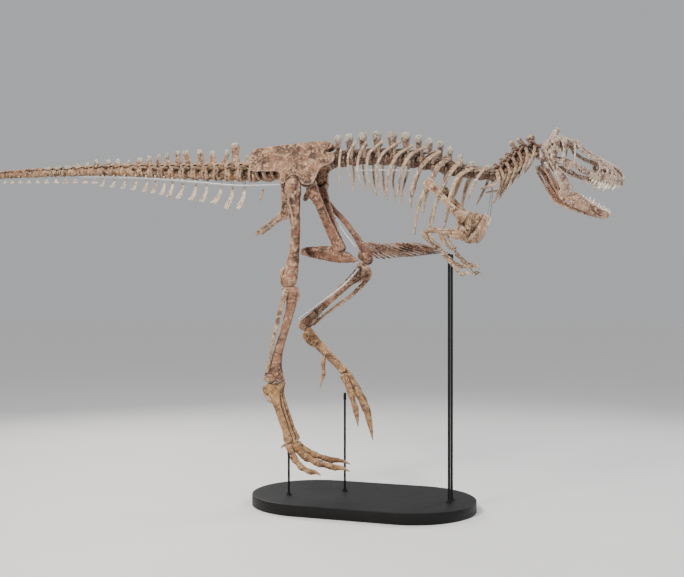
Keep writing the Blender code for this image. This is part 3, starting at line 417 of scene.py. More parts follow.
def grown(name, parts, finish, cell=0.006, rounds=2, rough=0.0014, turn=0.0, tips=(), reach=0.030):
    """Closed surfaces grown together into one bone, as real processes run into a bone's body.

    A voxel remesh of size `cell` joins them and `rounds` of smoothing fill the creases. Then each
    point moves along its normal by lumps of two sizes, and a `relief` value is kept on it: how far
    its neighbours' mean lies along the normal, spread over a few rings, above 0 in a hollow. A `tip`
    value is 1 at each of `tips` and falls off as exp(-(distance / reach) ** 2).
    """
    rough_made = joined(name, parts, finish)
    remesh = rough_made.modifiers.new("grown", "REMESH")
    remesh.mode = "VOXEL"
    remesh.voxel_size = cell
    smooth = rough_made.modifiers.new("smooth", "SMOOTH")
    smooth.factor = 0.5
    smooth.iterations = rounds
    graph = bpy.context.evaluated_depsgraph_get()
    graph.update()
    mesh = bpy.data.meshes.new_from_object(rough_made.evaluated_get(graph))
    rough_made.modifiers.clear()
    rough_made.data = mesh
    mesh.materials.clear()
    mesh.materials.append(finish)
    count = len(mesh.vertices)
    points = np.empty(count * 3)
    mesh.vertices.foreach_get("co", points)
    points = points.reshape(-1, 3)
    normals = np.empty(count * 3)
    mesh.vertex_normals.foreach_get("vector", normals)
    normals = normals.reshape(-1, 3)
    edges = np.empty(len(mesh.edges) * 2, np.int32)
    mesh.edges.foreach_get("vertices", edges)
    one, other = edges.reshape(-1, 2).T
    both, across = np.concatenate([one, other]), np.concatenate([other, one])
    near = np.maximum(np.bincount(both, minlength=count), 1)

    def mean_beside(values):
        return np.bincount(both, weights=values[across], minlength=count) / near

    beside = np.stack([mean_beside(points[:, k]) for k in range(3)], -1)
    relief = ((beside - points) * normals).sum(1) / cell * 9
    for _ in range(3):
        relief = 0.4 * relief + 0.6 * mean_beside(relief)
    moved = lumps(points, 0.055, turn) + 0.5 * lumps(points, 0.021, turn + 2.0)
    points = points + normals * (moved * rough)[:, None]
    mesh.vertices.foreach_set("co", points.ravel())
    kept = mesh.attributes.new("relief", "FLOAT", "POINT")
    kept.data.foreach_set("value", np.clip(relief, -1, 1).astype(np.float32))
    if len(tips):
        far = np.min([((points - tip) ** 2).sum(1) for tip in tips], 0)
        kept = mesh.attributes.new("tip", "FLOAT", "POINT")
        kept.data.foreach_set("value", np.exp(-far / reach**2).astype(np.float32))
    mesh.update()
    mesh.shade_smooth()
    return rough_made


def through(rows, at):
    """The rows' values at the places `at`; the first column is each row's own place.

    Between two rows each value follows the cubic that has the rows' values and their mean slopes.
    """
    rows = np.asarray(rows, float)
    place, value = rows[:, 0], rows[:, 1:]
    slope = np.gradient(value, place, axis=0)
    low = np.clip(np.searchsorted(place, at, side="right") - 1, 0, len(place) - 2)
    span = (place[low + 1] - place[low])[:, None]
    t = (at - place[low])[:, None] / span
    start = (2 * t**3 - 3 * t**2 + 1) * value[low] + (t**3 - 2 * t**2 + t) * span * slope[low]
    end = (3 * t**2 - 2 * t**3) * value[low + 1] + (t**3 - t**2) * span * slope[low + 1]
    return start + end


def unit(rows):
    return rows / np.maximum(np.linalg.norm(rows, axis=-1, keepdims=True), 1e-12)


def tube(points, sizes, across=(0, 1, 0), sides=14, pace=0.012, power=2.0, cap=0.5):
    """A bone or a rod: a rounded profile carried along a smooth curve through `points`.

    At a place on the curve, with A square to it and B square to both, the profile is
    A * wide * c(turn) + B * deep * s(turn), where c and s are the cosine and sine raised to
    2 / power, so a `power` above 2 squares it. Each end is domed: the last rows shrink as a
    quarter of an ellipse, over `cap` times the mean half size.
    """
    points, sizes = np.asarray(points, float), np.asarray(sizes, float)
    walked = np.concatenate([[0], np.cumsum(np.linalg.norm(np.diff(points, axis=0), axis=1))])
    rows = max(3, int(walked[-1] / pace) + 1)
    laid = through(np.column_stack([walked, points, sizes]), np.linspace(0, walked[-1], rows))
    centre, size = laid[:, :3], np.maximum(laid[:, 3:], 0.0008)
    along = unit(np.gradient(centre, axis=0))
    wide = np.asarray(across, float) - (np.asarray(across, float) * along).sum(1, keepdims=True) * along
    wide = unit(wide)
    deep = np.cross(along, wide)
    turn = np.linspace(0, 2 * np.pi, sides, endpoint=False)
    c, s = np.cos(turn), np.sin(turn)
    c, s = (np.sign(v) * np.abs(v) ** (2 / power) for v in (c, s))
    lean = np.linspace(np.pi / 2, 0, 4)[1:-1]
    shrink = np.concatenate([np.cos(lean), np.ones(rows), np.cos(lean[::-1])])
    reach = cap * size.mean(1)
    push = np.concatenate([-np.sin(lean) * reach[0], np.zeros(rows), np.sin(lean[::-1]) * reach[-1]])
    row = np.concatenate([np.zeros(2, int), np.arange(rows), np.full(2, rows - 1)])
    middle = centre[row] + along[row] * push[:, None]
    width = (wide * size[:, :1])[row] * shrink[:, None]
    depth = (deep * size[:, 1:2])[row] * shrink[:, None]
    rings = middle[:, None] + width[:, None] * c[:, None] + depth[:, None] * s[:, None]
    return closed(rings, centre[0] - along[0] * reach[0], centre[-1] + along[-1] * reach[-1])


def blade(rows, middle, half_thick, sides=40, power=3.0):
    """A flat bone: at each x a thin loop from its lower edge up one face and down the other.

    Each row is (x, lower z, upper z). Round the loop z = lower + (upper - lower) * (1 - cos) / 2
    and y = middle(x, z) + half_thick(x, z) * sin ** (2 / power), so both edges are rounded.
    """
    rows = np.asarray(rows, float)
    at = np.linspace(rows[0, 0], rows[-1, 0], max(24, int(abs(rows[-1, 0] - rows[0, 0]) / 0.008)))
    low = np.interp(at, rows[:, 0], rows[:, 1])
    high = np.interp(at, rows[:, 0], rows[:, 2])
    turn = np.linspace(0, 2 * np.pi, sides, endpoint=False)
    z = low[:, None] + (high - low)[:, None] * (1 - np.cos(turn)) / 2
    x = np.repeat(at[:, None], sides, 1)
    bulge = np.sign(np.sin(turn)) * np.abs(np.sin(turn)) ** (2 / power)
    y = middle(x, z) - half_thick(x, z) * bulge
    rings = np.stack([x, y, z], -1)
    return closed(rings, rings[0].mean(0), rings[-1].mean(0))


def ball(at, radii, sides=18):
    """An ellipsoid round `at`: rings of radius cos(rise) at height sin(rise)."""
    rise = np.linspace(-np.pi / 2, np.pi / 2, sides // 2 + 1)[1:-1]
    turn = np.linspace(0, 2 * np.pi, sides, endpoint=False)
    rings = np.empty((len(rise), sides, 3))
    rings[..., 0] = at[0] + radii[0] * np.cos(rise)[:, None] * np.cos(turn)
    rings[..., 1] = at[1] + radii[1] * np.cos(rise)[:, None] * np.sin(turn)
    rings[..., 2] = at[2] + radii[2] * np.sin(rise)[:, None]
    ends = [np.array([at[0], at[1], at[2] + end * radii[2]]) for end in (-1, 1)]
    return closed(rings, *ends)


def mm(rows):
    """A table that is written in millimetres, as metres."""
    return np.array(rows, float) / 1000


def sided(points, side):
    """Points given for the left side, +Y, moved to `side`: 1 is left and -1 is right."""
    return np.asarray(points, float) * (1, side, 1)


def bar(rows, side=1, **shape):
    """A tube from rows of x, y, z, half width and half depth in millimetres, y for the left side."""
    rows = mm(rows)
    return tube(sided(rows[:, :3], side), rows[:, 3:], **shape)


def kept_as(piece, slot, *nodes):
    """The piece is part of the one still body and stands for these solids, which are hidden; `slot` is not
    used.
    """
    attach(piece, "root")
    if nodes:
        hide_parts(*nodes)
    return piece


# The sacrum: five spools grown together, their side ribs, and the spines as one upright sheet.
SACRALS = mm(((-264, 2789), (-400, 2770), (-540, 2742), (-680, 2718), (-820, 2708), (-958, 2712)))
parts = []
for (x0, z0), (x1, z1) in zip(SACRALS, SACRALS[1:]):
    body = [(x0 + (x1 - x0) * t, 0, z0 + (z1 - z0) * t) for t in (0.03, 0.13, 0.5, 0.87, 0.97)]
    parts.append(tube(body, mm(((50, 60), (48, 58), (36, 42), (48, 58), (50, 60))), cap=0.1))
    for side in (-1, 1):
        for share, broad in ((0.08, 0.024), (0.54, 0.017)):
            x, z = x0 + (x1 - x0) * share, z0 + (z1 - z0) * share
            brace = sided(
                ((x, 0.030, z - 0.026), (x - 0.004, 0.052, z - 0.014), (x - 0.008, 0.068, z + 0.026)), side
            )
            sizes = ((broad, 0.022), (broad * 0.7, 0.022), (broad, 0.026))
            parts.append(tube(brace, sizes, across=X, sides=12, cap=0.2))
        upper = sided(((x, 0.010, z + 0.085), (x, 0.026, z + 0.110), (x, 0.038, z + 0.118)), side)
        parts.append(tube(
            upper, ((0.024, 0.018), (0.018, 0.016), (0.024, 0.014)), across=X, sides=12, cap=0.2
        ))
SPINE_SHEET = mm((
    (-938, 2730, 2880), (-925, 2720, 2905), (-600, 2740, 2926), (-310, 2780, 2934), (-296, 2800, 2910)
))
parts.append(blade(SPINE_SHEET, lambda x, z: 0 * x, lambda x, z: 0.009 + 0.05 * np.maximum(z - 2.88, 0)))
parts.append(bar(((-876, 0, 2590, 9, 14), (-882, 0, 2550, 6, 10), (-902, 0, 2506, 7, 13)), sides=12))
kept_as(grown("sacrum_bone", parts, hip_bone, rough=0.0016), "bone_brown", "sacrum")

# x, lower edge and upper edge, rear to front, in millimetres
ILIUM = mm((
    (-976, 2826, 2852), (-970, 2796, 2876), (-961, 2768, 2900), (-948, 2746, 2918), (-930, 2732, 2931),
    (-900, 2726, 2936), (-828, 2722, 2938), (-720, 2719, 2945), (-684, 2714, 2948), (-664, 2688, 2949),
    (-652, 2634, 2949), (-638, 2606, 2950), (-606, 2608, 2951), (-590, 2648, 2953), (-561, 2667, 2955),
    (-529, 2670, 2957), (-498, 2656, 2958), (-476, 2624, 2959), (-450, 2592, 2960), (-400, 2582, 2961),
    (-356, 2594, 2961), (-343, 2640, 2962), (-336, 2688, 2962), (-322, 2722, 2962), (-306, 2738, 2962),
))
UPPER_LOBE = mm((
    (-340, 2872, 2962), (-310, 2876, 2961), (-280, 2882, 2957), (-256, 2892, 2944), (-240, 2912, 2926)
))
LOWER_LOBE = mm((
    (-340, 2720, 2880), (-306, 2736, 2872), (-270, 2748, 2862), (-240, 2760, 2858), (-218, 2776, 2846),
    (-208, 2798, 2822),
))


def hip_blade(side):
    """The sheet stands 36 mm from the middle at its top and flares outward and down as a parabola."""

    def middle(x, z):
        flare = np.maximum(0.0, 2.955 - z)
        return side * (0.036 + 0.20 * flare + 0.55 * flare**2)

    def half_thick(x, z):
        """Thin in the open blade, thick along the top edge and over the socket."""
        top = np.exp(-(((z - 2.955) / 0.022) ** 2))
        rib = np.exp(-(((x - HIP_X - 0.02 * (z - 2.7)) / 0.045) ** 2)) * np.clip((2.95 - z) / 0.25, 0, 1)
        foot = np.clip((2.72 - z) / 0.10, 0, 1)
        return 0.0085 + 0.006 * top + 0.007 * rib + 0.012 * foot

    return [blade(rows, middle, half_thick, sides=64) for rows in (ILIUM, UPPER_LOBE, LOWER_LOBE)]


for side, suffix in ((-1, "right"), (1, "left")):
    arc = np.linspace(np.pi * 0.98, np.pi * 0.02, 9)
    rim = np.stack(
        [HIP_X - 0.010 + 0.072 * np.cos(arc), np.full(9, side * 0.136), 2.612 + 0.068 * np.sin(arc)], -1
    )
    parts = [*hip_blade(side), tube(rim, np.tile((0.030, 0.013), (9, 1)), sides=14)]
    parts.append(bar(
        ((-455, 150, 2600, 24, 20), (-400, 144, 2590, 30, 26), (-356, 136, 2616, 22, 22)), side
    ))
    parts.append(bar(
        ((-652, 128, 2650, 18, 22), (-632, 140, 2612, 24, 24), (-606, 142, 2622, 20, 18)), side
    ))
    parts.append(bar(((-955, 58, 2772, 10, 8), (-860, 68, 2748, 20, 10), (-740, 74, 2734, 14, 10)), side))
    piece = grown(f"ilium_{suffix}_bone", parts, hip_bone, cell=0.0055, rough=0.0026, turn=side)
    kept_as(piece, "bone_brown", f"ilium_{suffix}")

# The two pubes meet halfway down and end in one long boot, keeled below and pointed behind.
parts = []
for side in (-1, 1):
    parts.append(bar(
        (
            (-394, 116, 2590, 34, 50), (-366, 108, 2520, 26, 42), (-338, 92, 2450, 20, 38),
            (-302, 70, 2345, 16, 40), (-262, 48, 2240, 17, 42), (-220, 34, 2150, 20, 44),
            (-188, 24, 2070, 24, 52),
        ),
        side, sides=18,
    ))
    parts.append(bar(
        ((-405, 114, 2550, 16, 34), (-434, 110, 2512, 11, 30), (-452, 106, 2470, 9, 20)), side, sides=12
    ))
parts.append(bar(((-305, 0, 2330, 56, 6), (-255, 0, 2240, 36, 9), (-180, 0, 2075, 20, 20)), sides=14))
parts.append(bar(
    (
        (-522, 0, 2068, 14, 30), (-474, 0, 2062, 18, 40), (-400, 0, 2054, 24, 50), (-307, 0, 2047, 30, 61),
        (-220, 0, 2026, 36, 58), (-150, 0, 2010, 36, 47), (-90, 0, 1994, 26, 30), (-40, 0, 1984, 14, 14),
    ),
    sides=22, power=2.3,
))
parts.append(bar(((-200, 0, 2040, 30, 20), (-150, 0, 2036, 34, 26), (-110, 0, 2022, 26, 18))))
kept_as(grown("pubis_bone", parts, belly_bone, rough=0.0034, turn=0.4), "bone_dark", "pubis")

# The ischia sweep back and down as two thin rods, the left a little above the right as mounted,
# each with a ragged flange in front.
ISCHIUM_WALK = (0.118, 0.110, 0.092, 0.062, 0.040, 0.020, 0.014)
ISCHIA = {
    -1: (
        (-0.622, 2.604), (-0.632, 2.530), (-0.640, 2.470), (-0.662, 2.400), (-0.704, 2.344),
        (-0.800, 2.273), (-0.886, 2.224),
    ),
    1: (
        (-0.622, 2.604), (-0.638, 2.530), (-0.654, 2.482), (-0.690, 2.430), (-0.735, 2.380),
        (-0.850, 2.288), (-0.944, 2.221),
    ),
}
FLANGE_EDGES = mm((
    (-742, 2296, 2326), (-706, 2312, 2350), (-690, 2308, 2365), (-672, 2328, 2390), (-656, 2322, 2415),
    (-638, 2340, 2440), (-620, 2332, 2424), (-606, 2344, 2400), (-598, 2364, 2374),
))
parts = []
for side, line in ISCHIA.items():
    shaft = [(x, side * y, z) for (x, z), y in zip(line, ISCHIUM_WALK)]
    sizes = (
        (0.028, 0.036), (0.020, 0.030), (0.015, 0.027), (0.013, 0.025), (0.012, 0.020), (0.011, 0.017),
        (0.012, 0.019),
    )
    parts.append(tube(shaft, sizes, sides=14))
    rows = FLANGE_EDGES + (0, 0.010 * side + 0.010, 0.010 * side + 0.010)
    parts.append(blade(
        rows, lambda x, z, s=side: s * (0.056 + 0.34 * (x + 0.65)), lambda x, z: 0.006 + 0 * x, sides=20
    ))
kept_as(
    grown("ischium_bone", parts, hip_bone, cell=0.0046, rough=0.0016, turn=2.2), "bone_brown", "ischium"
)
# --- tail ------------------------------------------------------------------------------------------
# Thirty-eight tail vertebrae threaded on a hidden steel bar: deep spools with broad spines near the
# hips, long low ones with overlapping joint prongs behind. Chevron bones hang under the joints.
CAUDALS = 38
CAUDAL_RADIUS = 0.050
CAUDAL_DEPTH = 1.46  # height of a body against its width at the hips, falling to 1.12
WINGED_CAUDALS = 11
DISC = 0.004  # half the gap between two vertebrae
TAIL_LINE = mm(((-968, 0, 2724), (-1500, 0, 2756), (-2200, 0, 2806), (-3300, 0, 2832), (-4360, 0, 2826)))
# of each spine: how far ahead of the body's middle its tip is, its height above it, half its breadth
CAUDAL_SPINES = mm((
    (10, 150, 20), (2, 252, 34), (41, 196, 15), (8, 185, 23), (-5, 196, 27), (-36, 188, 26), (-6, 185, 21),
    (-4, 162, 15), (26, 154, 18), (34, 132, 23), (42, 110, 26), (32, 96, 15), (24, 104, 21), (26, 99, 21),
    (0, 104, 19), (10, 80, 18), (8, 71, 16), (4, 58, 13), (0, 50, 10), (0, 43, 8),
))


def spaced(line, lengths):
    """Points on the smooth curve through `line`, apart in proportion to `lengths`."""
    line = np.asarray(line, float)
    walked = np.concatenate([[0], np.cumsum(np.linalg.norm(np.diff(line, axis=0), axis=1))])
    fine = through(np.column_stack([walked, line]), np.linspace(0, walked[-1], 2000))
    length = np.concatenate([[0], np.cumsum(np.linalg.norm(np.diff(fine, axis=0), axis=1))])
    share = np.concatenate([[0], np.cumsum(lengths)]) / np.sum(lengths) * length[-1]
    return np.stack([np.interp(share, length, fine[:, k]) for k in range(3)], -1)


def spool(here, after, start, end, waist, gap=DISC, tall=1.08, sides=20):
    """The body of a vertebra: a rim at each end, a waist between, and gently hollow end faces."""
    along = unit(after - here)
    span = np.linalg.norm(after - here) - 2 * gap
    share = np.array([0, 0.06, 0.16, 0.34, 0.5, 0.66, 0.84, 0.94, 1.0])
    swell = np.array([0.93, 1.0, 0.97, waist + 0.06, waist, waist + 0.06, 0.97, 1.0, 0.93])
    radius = (start + (end - start) * share) * swell
    points = here + along * (gap + span * share)[:, None]
    return tube(points, np.stack([radius, radius * tall], -1), sides=sides, cap=0.08)


def between(start, end, shares):
    """Points on the straight line from start to end, at these shares of it."""
    return start + np.outer(shares, end - start)


def laid(origin, axes, rows, side=1, scale=1, **shape):
    """A tube in a bone's own axes. A row is its steps along `axes` from `origin`, then its two half sizes.

    The second step is given for the left side and goes to `side`; the sizes are times `scale`.
    """
    rows = np.array(rows, float)
    steps, sizes = rows[:, :-2], rows[:, -2:]
    steps[:, 1] *= side
    return tube(origin + steps @ np.array(axes), sizes * scale, **shape)


def wire(points, radius, **shape):
    """A rod, pin or wire of one radius."""
    return tube(points, [(radius, radius)] * len(points), **shape)


def caudal_radius(index):
    """Half width of a tail joint: an even taper, steeper over the last ones."""
    return np.where(
        index < 26, CAUDAL_RADIUS * (1 - 0.0195 * index), CAUDAL_RADIUS * 0.49 * (1 - (index - 26) / 20)
    )


caudal_lengths = 0.106 - 0.006 * (np.arange(CAUDALS) >= 7) - 0.0032 * np.maximum(0, np.arange(CAUDALS) - 19)
joints = spaced(TAIL_LINE, caudal_lengths)


def caudal(k):
    """One tail vertebra: spool, arch, joint prongs fore and aft, side wings and spine."""
    here, after = joints[k], joints[k + 1]
    start, end = float(caudal_radius(k)), float(caudal_radius(k + 1))
    radius = (start + end) / 2
    length = np.linalg.norm(after - here)
    along = unit(after - here)
    middle = (here + after) / 2
    deep = CAUDAL_DEPTH - 0.34 * min(1.0, k / 12)
    top = radius * deep
    arch = middle + Z * (top + radius * 0.10)
    own = (along * length, Y * radius, Z * radius)
    prong = (0.022 + 0.0016 * k if k < 16 else min(0.050, length * 0.46)) / length
    far = radius + 0.092 - 0.0070 * k
    block = ((-0.36, 0, 0, 0.46, 0.42), (-0.10, 0, 0.20, 0.48, 0.66), (0.26, 0, 0.10, 0.40, 0.42))
    fore = (
        (-0.22, 0.30, 0, 0.20, 0.28), (-0.42, 0.42, 0.22, 0.17, 0.24),
        (-0.42 - prong, 0.40, 0.44, 0.10, 0.14),
    )
    aft = ((0.14, 0.16, 0.22, 0.20, 0.26), (0.36, 0.24, 0.34, 0.17, 0.20), (0.50, 0.24, 0.30, 0.10, 0.12))
    wing = (
        (0, 0.55 * radius, 0.62, 0.028, 0.014), (0.010, (radius + far) / 2, 0.70, 0.018, 0.008),
        (0.026, far, 0.62, 0.021 - 0.0009 * k, 0.007),
    )
    made = [
        spool(here, after, start, end, 0.72 if k < 20 else 0.82, tall=deep),
        laid(arch, own, block, 1, radius, sides=14),
    ]
    for side in (-1, 1):
        made += [laid(arch, own, rows, side, radius, sides=10) for rows in (fore, aft)]
        if k < WINGED_CAUDALS:
            made.append(laid(middle, (along, Y, Z * top), wing, side, across=X, sides=12))
    if k < len(CAUDAL_SPINES):
        ahead, height, broad = CAUDAL_SPINES[k]
        foot = middle + np.array([0.010, 0, top * 0.9])
        thin = radius * 0.22 + 0.002
        sizes = (
            (length * 0.38, radius * 0.36), (length * 0.31, thin * 1.4), (max(broad, 0.016), thin * 1.1),
            (broad * 1.2, thin * 1.5), (broad, thin * 1.7),
        )
        spine = between(foot, middle + np.array([ahead, 0, height]), (0, 0.32, 0.62, 0.86, 1.0))
        made.append(tube(spine, sizes, across=X, sides=20, power=2.7, cap=0.5))
    return made


tail_bone = bone_finish(
    "tail_bone", (0.56, 0.39, 0.245), (0.245, 0.12, 0.055), (0.045, 0.016, 0.008), mottle=10.0, crack=13.0,
    shift=2.1,
)
ivory_bone = bone_finish(
    "ivory_bone", (0.779, 0.671, 0.519), (0.628, 0.486, 0.339), (0.318, 0.178, 0.098), mottle=11.0,
    crack=10.0, shift=3.4,
)

first = 0
for number, count in enumerate((9, 9, 10, 10), start=1):
    parts = [part for k in range(first, first + count) for part in caudal(k)]
    tips = [
        (joints[k] + joints[k + 1]) / 2 + np.array([CAUDAL_SPINES[k][0], 0, CAUDAL_SPINES[k][1]])
        for k in range(first, min(first + count, len(CAUDAL_SPINES)))
    ]
    piece = grown(
        f"tail_bones_{number}", parts, tail_bone, cell=(0.0055, 0.0048, 0.0042, 0.0034)[number - 1],
        rounds=1, rough=(0.0016, 0.0012, 0.0008, 0.0005)[number - 1], turn=number, tips=tips, reach=0.045,
    )
    kept_as(piece, "bone_brown", f"tail_{number}")
    first += count

# Chevrons: two short prongs pinned under a joint, then a thick swept blade with a booted foot.
CHEVRONS = 31
SKIDS_FROM = 15  # from here back they are low skids
PIN_RADIUS = 0.0034
# of each: how far ahead of the joint it hangs, how far its tip trails behind its top
CHEVRON_SET = mm((
    (10, 22), (27, 56), (24, 57), (27, 64), (2, 43), (8, 43), (-8, 41), (0, 34), (22, 22), (40, 25),
    (52, 23), (50, 32), (38, 14), (30, 18), (22, 12),
))


def chevron(k):
    """The arch that hangs at the front joint of vertebra `k`: (its bone, its pins)."""
    radius = float(caudal_radius(k)) * CAUDAL_DEPTH
    world = (X, Y, Z)
    if k >= SKIDS_FROM:
        small = 1 - 0.03 * (k - SKIDS_FROM)
        root = joints[k] + X * 0.034 - Z * (radius * 1.05 + 0.008)
        foot = joints[k] + X * 0.034 - Z * (0.100 - 0.003 * (k - SKIDS_FROM))
        drop = root[2] - foot[2]
        keel = (
            (0.031 * small, 0, 0.004, 0.0035, 0.006), (0.004, 0, 0.004, 0.006, 0.012 * small),
            (-0.031 * small, 0, 0.002, 0.0035, 0.006),
        )
        stem = (
            (0, 0, drop, 0.011 * small, 0.008), (0, 0, drop / 2, 0.013 * small, 0.006),
            (0, 0, 0.006, 0.018 * small, 0.006),
        )
        made = [laid(foot, world, keel, sides=12), laid(foot, world, stem, across=X, sides=12)]
        return made, [wire((root + Z * 0.020, root), PIN_RADIUS, sides=8)]
    ahead, trail = CHEVRON_SET[k]
    root = joints[k] + np.array([ahead, 0, -(0.055 + 0.0098 * max(0, 8 - k))])
    tip = joints[k] + np.array([ahead - trail, 0, -(0.292 if k < 3 else 0.247 - 0.0108 * (k - 3))])
    drop = root[2] - tip[2]
    broad = 0.022 - 0.0006 * k
    shaft = (
        (trail, 0, drop, 0.009, broad * 0.62), (trail + 0.004, 0, drop * 0.70, 0.0075, broad * 0.74),
        (trail * 0.74, 0, drop * 0.38, 0.0075, broad * 0.88),
        (trail * 0.22, 0, drop * 0.12, 0.0085, broad * 1.12), (0.004, 0, 0.006, 0.0080, broad * 0.95),
    )
    made = [laid(tip, world, shaft, sides=16, power=2.3, cap=0.8)]
    if 3 <= k:
        heel = (
            (0.010, 0, 0.014, 0.008, 0.015), (-0.008, 0, 0.008, 0.0075, 0.014),
            (-0.026, 0, 0.006, 0.005, 0.008),
        )
        made.append(laid(tip, world, heel, sides=12))
    pins = []
    fork = (
        (0, 0, -0.020, 0.008, 0.011), (0.003, 0.013, 0.004, 0.0065, 0.010),
        (0.006, 0.019, 0.022, 0.006, 0.010),
    )
    for side in (-1, 1):
        made.append(laid(root, world, fork, side, sides=12))
        end = root + (0.006, side * 0.019, 0.022)
        pins.append(wire(
            ((end[0], end[1], joints[k][2] - radius * 0.80), end - Z * 0.006), PIN_RADIUS, sides=8
        ))
    return made, pins


made = [chevron(k) for k in range(1, CHEVRONS)]
parts = [part for bones, _ in made for part in bones]
kept_as(
    grown("chevron_bones", parts, ivory_bone, cell=0.0036, rounds=1, rough=0.0008, turn=3.1), "bone_brown"
)
parts = [part for _, pins in made for part in pins]
kept_as(joined("chevron_pins", parts, dark_steel), "stand_steel")

# The bar inside the column: the vertebrae are threaded on it, so it shows only in the gaps.
core = [(-0.94, 0, 2.742), *joints[::4], joints[-1] + (joints[-2] - joints[-1]) * 0.5]
core_sizes = [(float(r),) * 2 for r in np.linspace(0.014, 0.0035, len(core))]
kept_as(joined("tail_bar", [tube(core, core_sizes, sides=12)], dark_steel), "stand_steel")

# Outside it a thin steel rod runs from the hips under the tail and holds it up.
kept_as(
    joined(
        "tail_rod_steel",
        [bar(
            (
                (-660, -75, 2616, 7.5, 7.5), (-900, -50, 2622, 7.5, 7.5), (-1100, -40, 2632, 7.5, 7.5),
                (-1410, -40, 2668, 7.5, 7.5), (-1740, -38, 2708, 7.5, 7.5), (-2100, -36, 2742, 7.5, 7.5),
                (-2660, -36, 2778, 7.5, 7.5),
            ),
            sides=16,
        )],
        bright_steel,
    ),
    "stand_steel", "stand_tail_rod",
)

# --- trunk -----------------------------------------------------------------------------------------
# Thirteen back vertebrae with tall square spines stand on the same bar. Each carries a pair of
# two-headed ribs, real bone set in small cups of resin and pinned to the side processes.
DORSALS = 13
DORSAL_RADIUS = 0.050
DORSAL_SPINE = 0.206
TRUNK_LINE = mm(((-252, 0, 2790), (120, 0, 2792), (450, 0, 2745), (780, 0, 2660), (1084, 0, 2603)))
RIB_TIP_Y = 0.112


def eased(value):
    """A smooth step from 0 to 1."""
    value = np.clip(value, 0, 1)
    return value * value * (3 - 2 * value)


even = np.arange(DORSALS + 1) / DORSALS
drawn = even + 0.037 * np.sin(2 * np.pi * (even - 0.22)) * np.minimum(
    1, np.minimum(even / 0.25, (1 - even) / 0.12)
)
back = spaced(TRUNK_LINE, np.diff(drawn))


def dorsal(k):
    """One back vertebra, counted from the hips: spool, arch, side processes, joints and spine."""
    here, after = back[k], back[k + 1]
    number = DORSALS - k
    radius = DORSAL_RADIUS * (1 - 0.016 * k)
    length = np.linalg.norm(after - here)
    own = (unit(after - here) * length, Y, Z)
    middle = (here + after) / 2
    arch = middle + Z * radius * 1.05
    rise = 0.025 + 0.080 * eased((number - 4) / 2.5)
    ahead = 0.060 if number == DORSALS else 0.105 - 0.030 * (eased((number - 2) / 3) + eased(2 - number))
    ridge = ((-0.38, 0, 0, 0.026, 0.024), (0, 0, 0.006, 0.030, 0.026), (0.38, 0, 0, 0.024, 0.022))
    process = (
        (0, 0.014, 0.050, 0.026, 0.015), (ahead * 0.35, 0.062, rise * 0.72 + 0.012, 0.019, 0.009),
        (ahead * 0.82, RIB_TIP_Y - 0.010, rise - 0.006, 0.018, 0.010),
    )
    fore = ((0.26, 0.016, 0, 0.012, 0.011), (0.66, 0.020, 0.006, 0.009, 0.007))
    aft = ((-0.24, 0.012, 0.010, 0.011, 0.010), (-0.58, 0.016, 0.010, 0.008, 0.007))
    brace = ((0, 0.030, 0.012, 0.014, 0.010), (ahead * 0.2, 0.056, 0.044, 0.010, 0.008))
    made = [spool(here, after, radius, radius * 0.985, 0.66, gap=0.004), laid(arch, own, ridge, sides=14)]
    for side in (-1, 1):
        made.append(laid(middle, (X, Y, Z), process, side, across=X, sides=14))
        made += [laid(arch, own, rows, side, sides=10) for rows in (fore, aft)]
        made.append(laid(middle, (X, Y, Z), brace, side, across=X, sides=10))
    height = 0.36 + 0.64 * float(eased((number - 1.2) / 4)) + 0.09 * math.exp(
        -(((number - 8.5) / 2.2) ** 2)
    )
    top = middle + np.array([-0.004 + 0.006 * math.sin(3.1 * number), 0, DORSAL_SPINE * height])
    wide = length * (0.27 + 0.03 * math.sin(1.7 * number) + 0.05 * float(eased((number - 3) / 3)))
    spine = between(middle + Z * radius * 0.9, top, (0, 0.30, 0.62, 0.86, 1.0))
    sizes = (
        (length * 0.34, 0.018), (length * 0.22, 0.012), (wide * 0.84, 0.010), (wide * 1.06, 0.013),
        (wide * 0.86, 0.015),
    )
    made.append(tube(spine, sizes, across=X, sides=20, power=2.6, cap=0.55))
    return made, top


back_bone = bone_finish(
    "back_bone", (0.3, 0.2, 0.135), (0.105, 0.044, 0.025), (0.026, 0.01, 0.006), mottle=9.0, crack=12.0,
    shift=5.2,
)
rib_bone = bone_finish(
    "rib_bone", (0.6, 0.44, 0.29), (0.34, 0.195, 0.105), (0.09, 0.034, 0.016), mottle=8.0, crack=8.0,
    shift=6.1,
)
made = [dorsal(k) for k in range(DORSALS)]
parts, tips = [part for bones, _ in made for part in bones], [top for _, top in made]
piece = grown(
    "dorsal_bones", parts, back_bone, cell=0.005, rounds=1, rough=0.0014, turn=5.0, tips=tips, reach=0.062
)
kept_as(piece, "bone_brown", "trunk_left", "trunk_right")
trunk_bar = [(-0.97, 0, 2.745), (-0.6, 0, 2.755), *back[::3], (1.09, 0, 2.604)]
kept_as(joined("trunk_bar", [wire(trunk_bar, 0.014, sides=12)], dark_steel), "stand_steel")

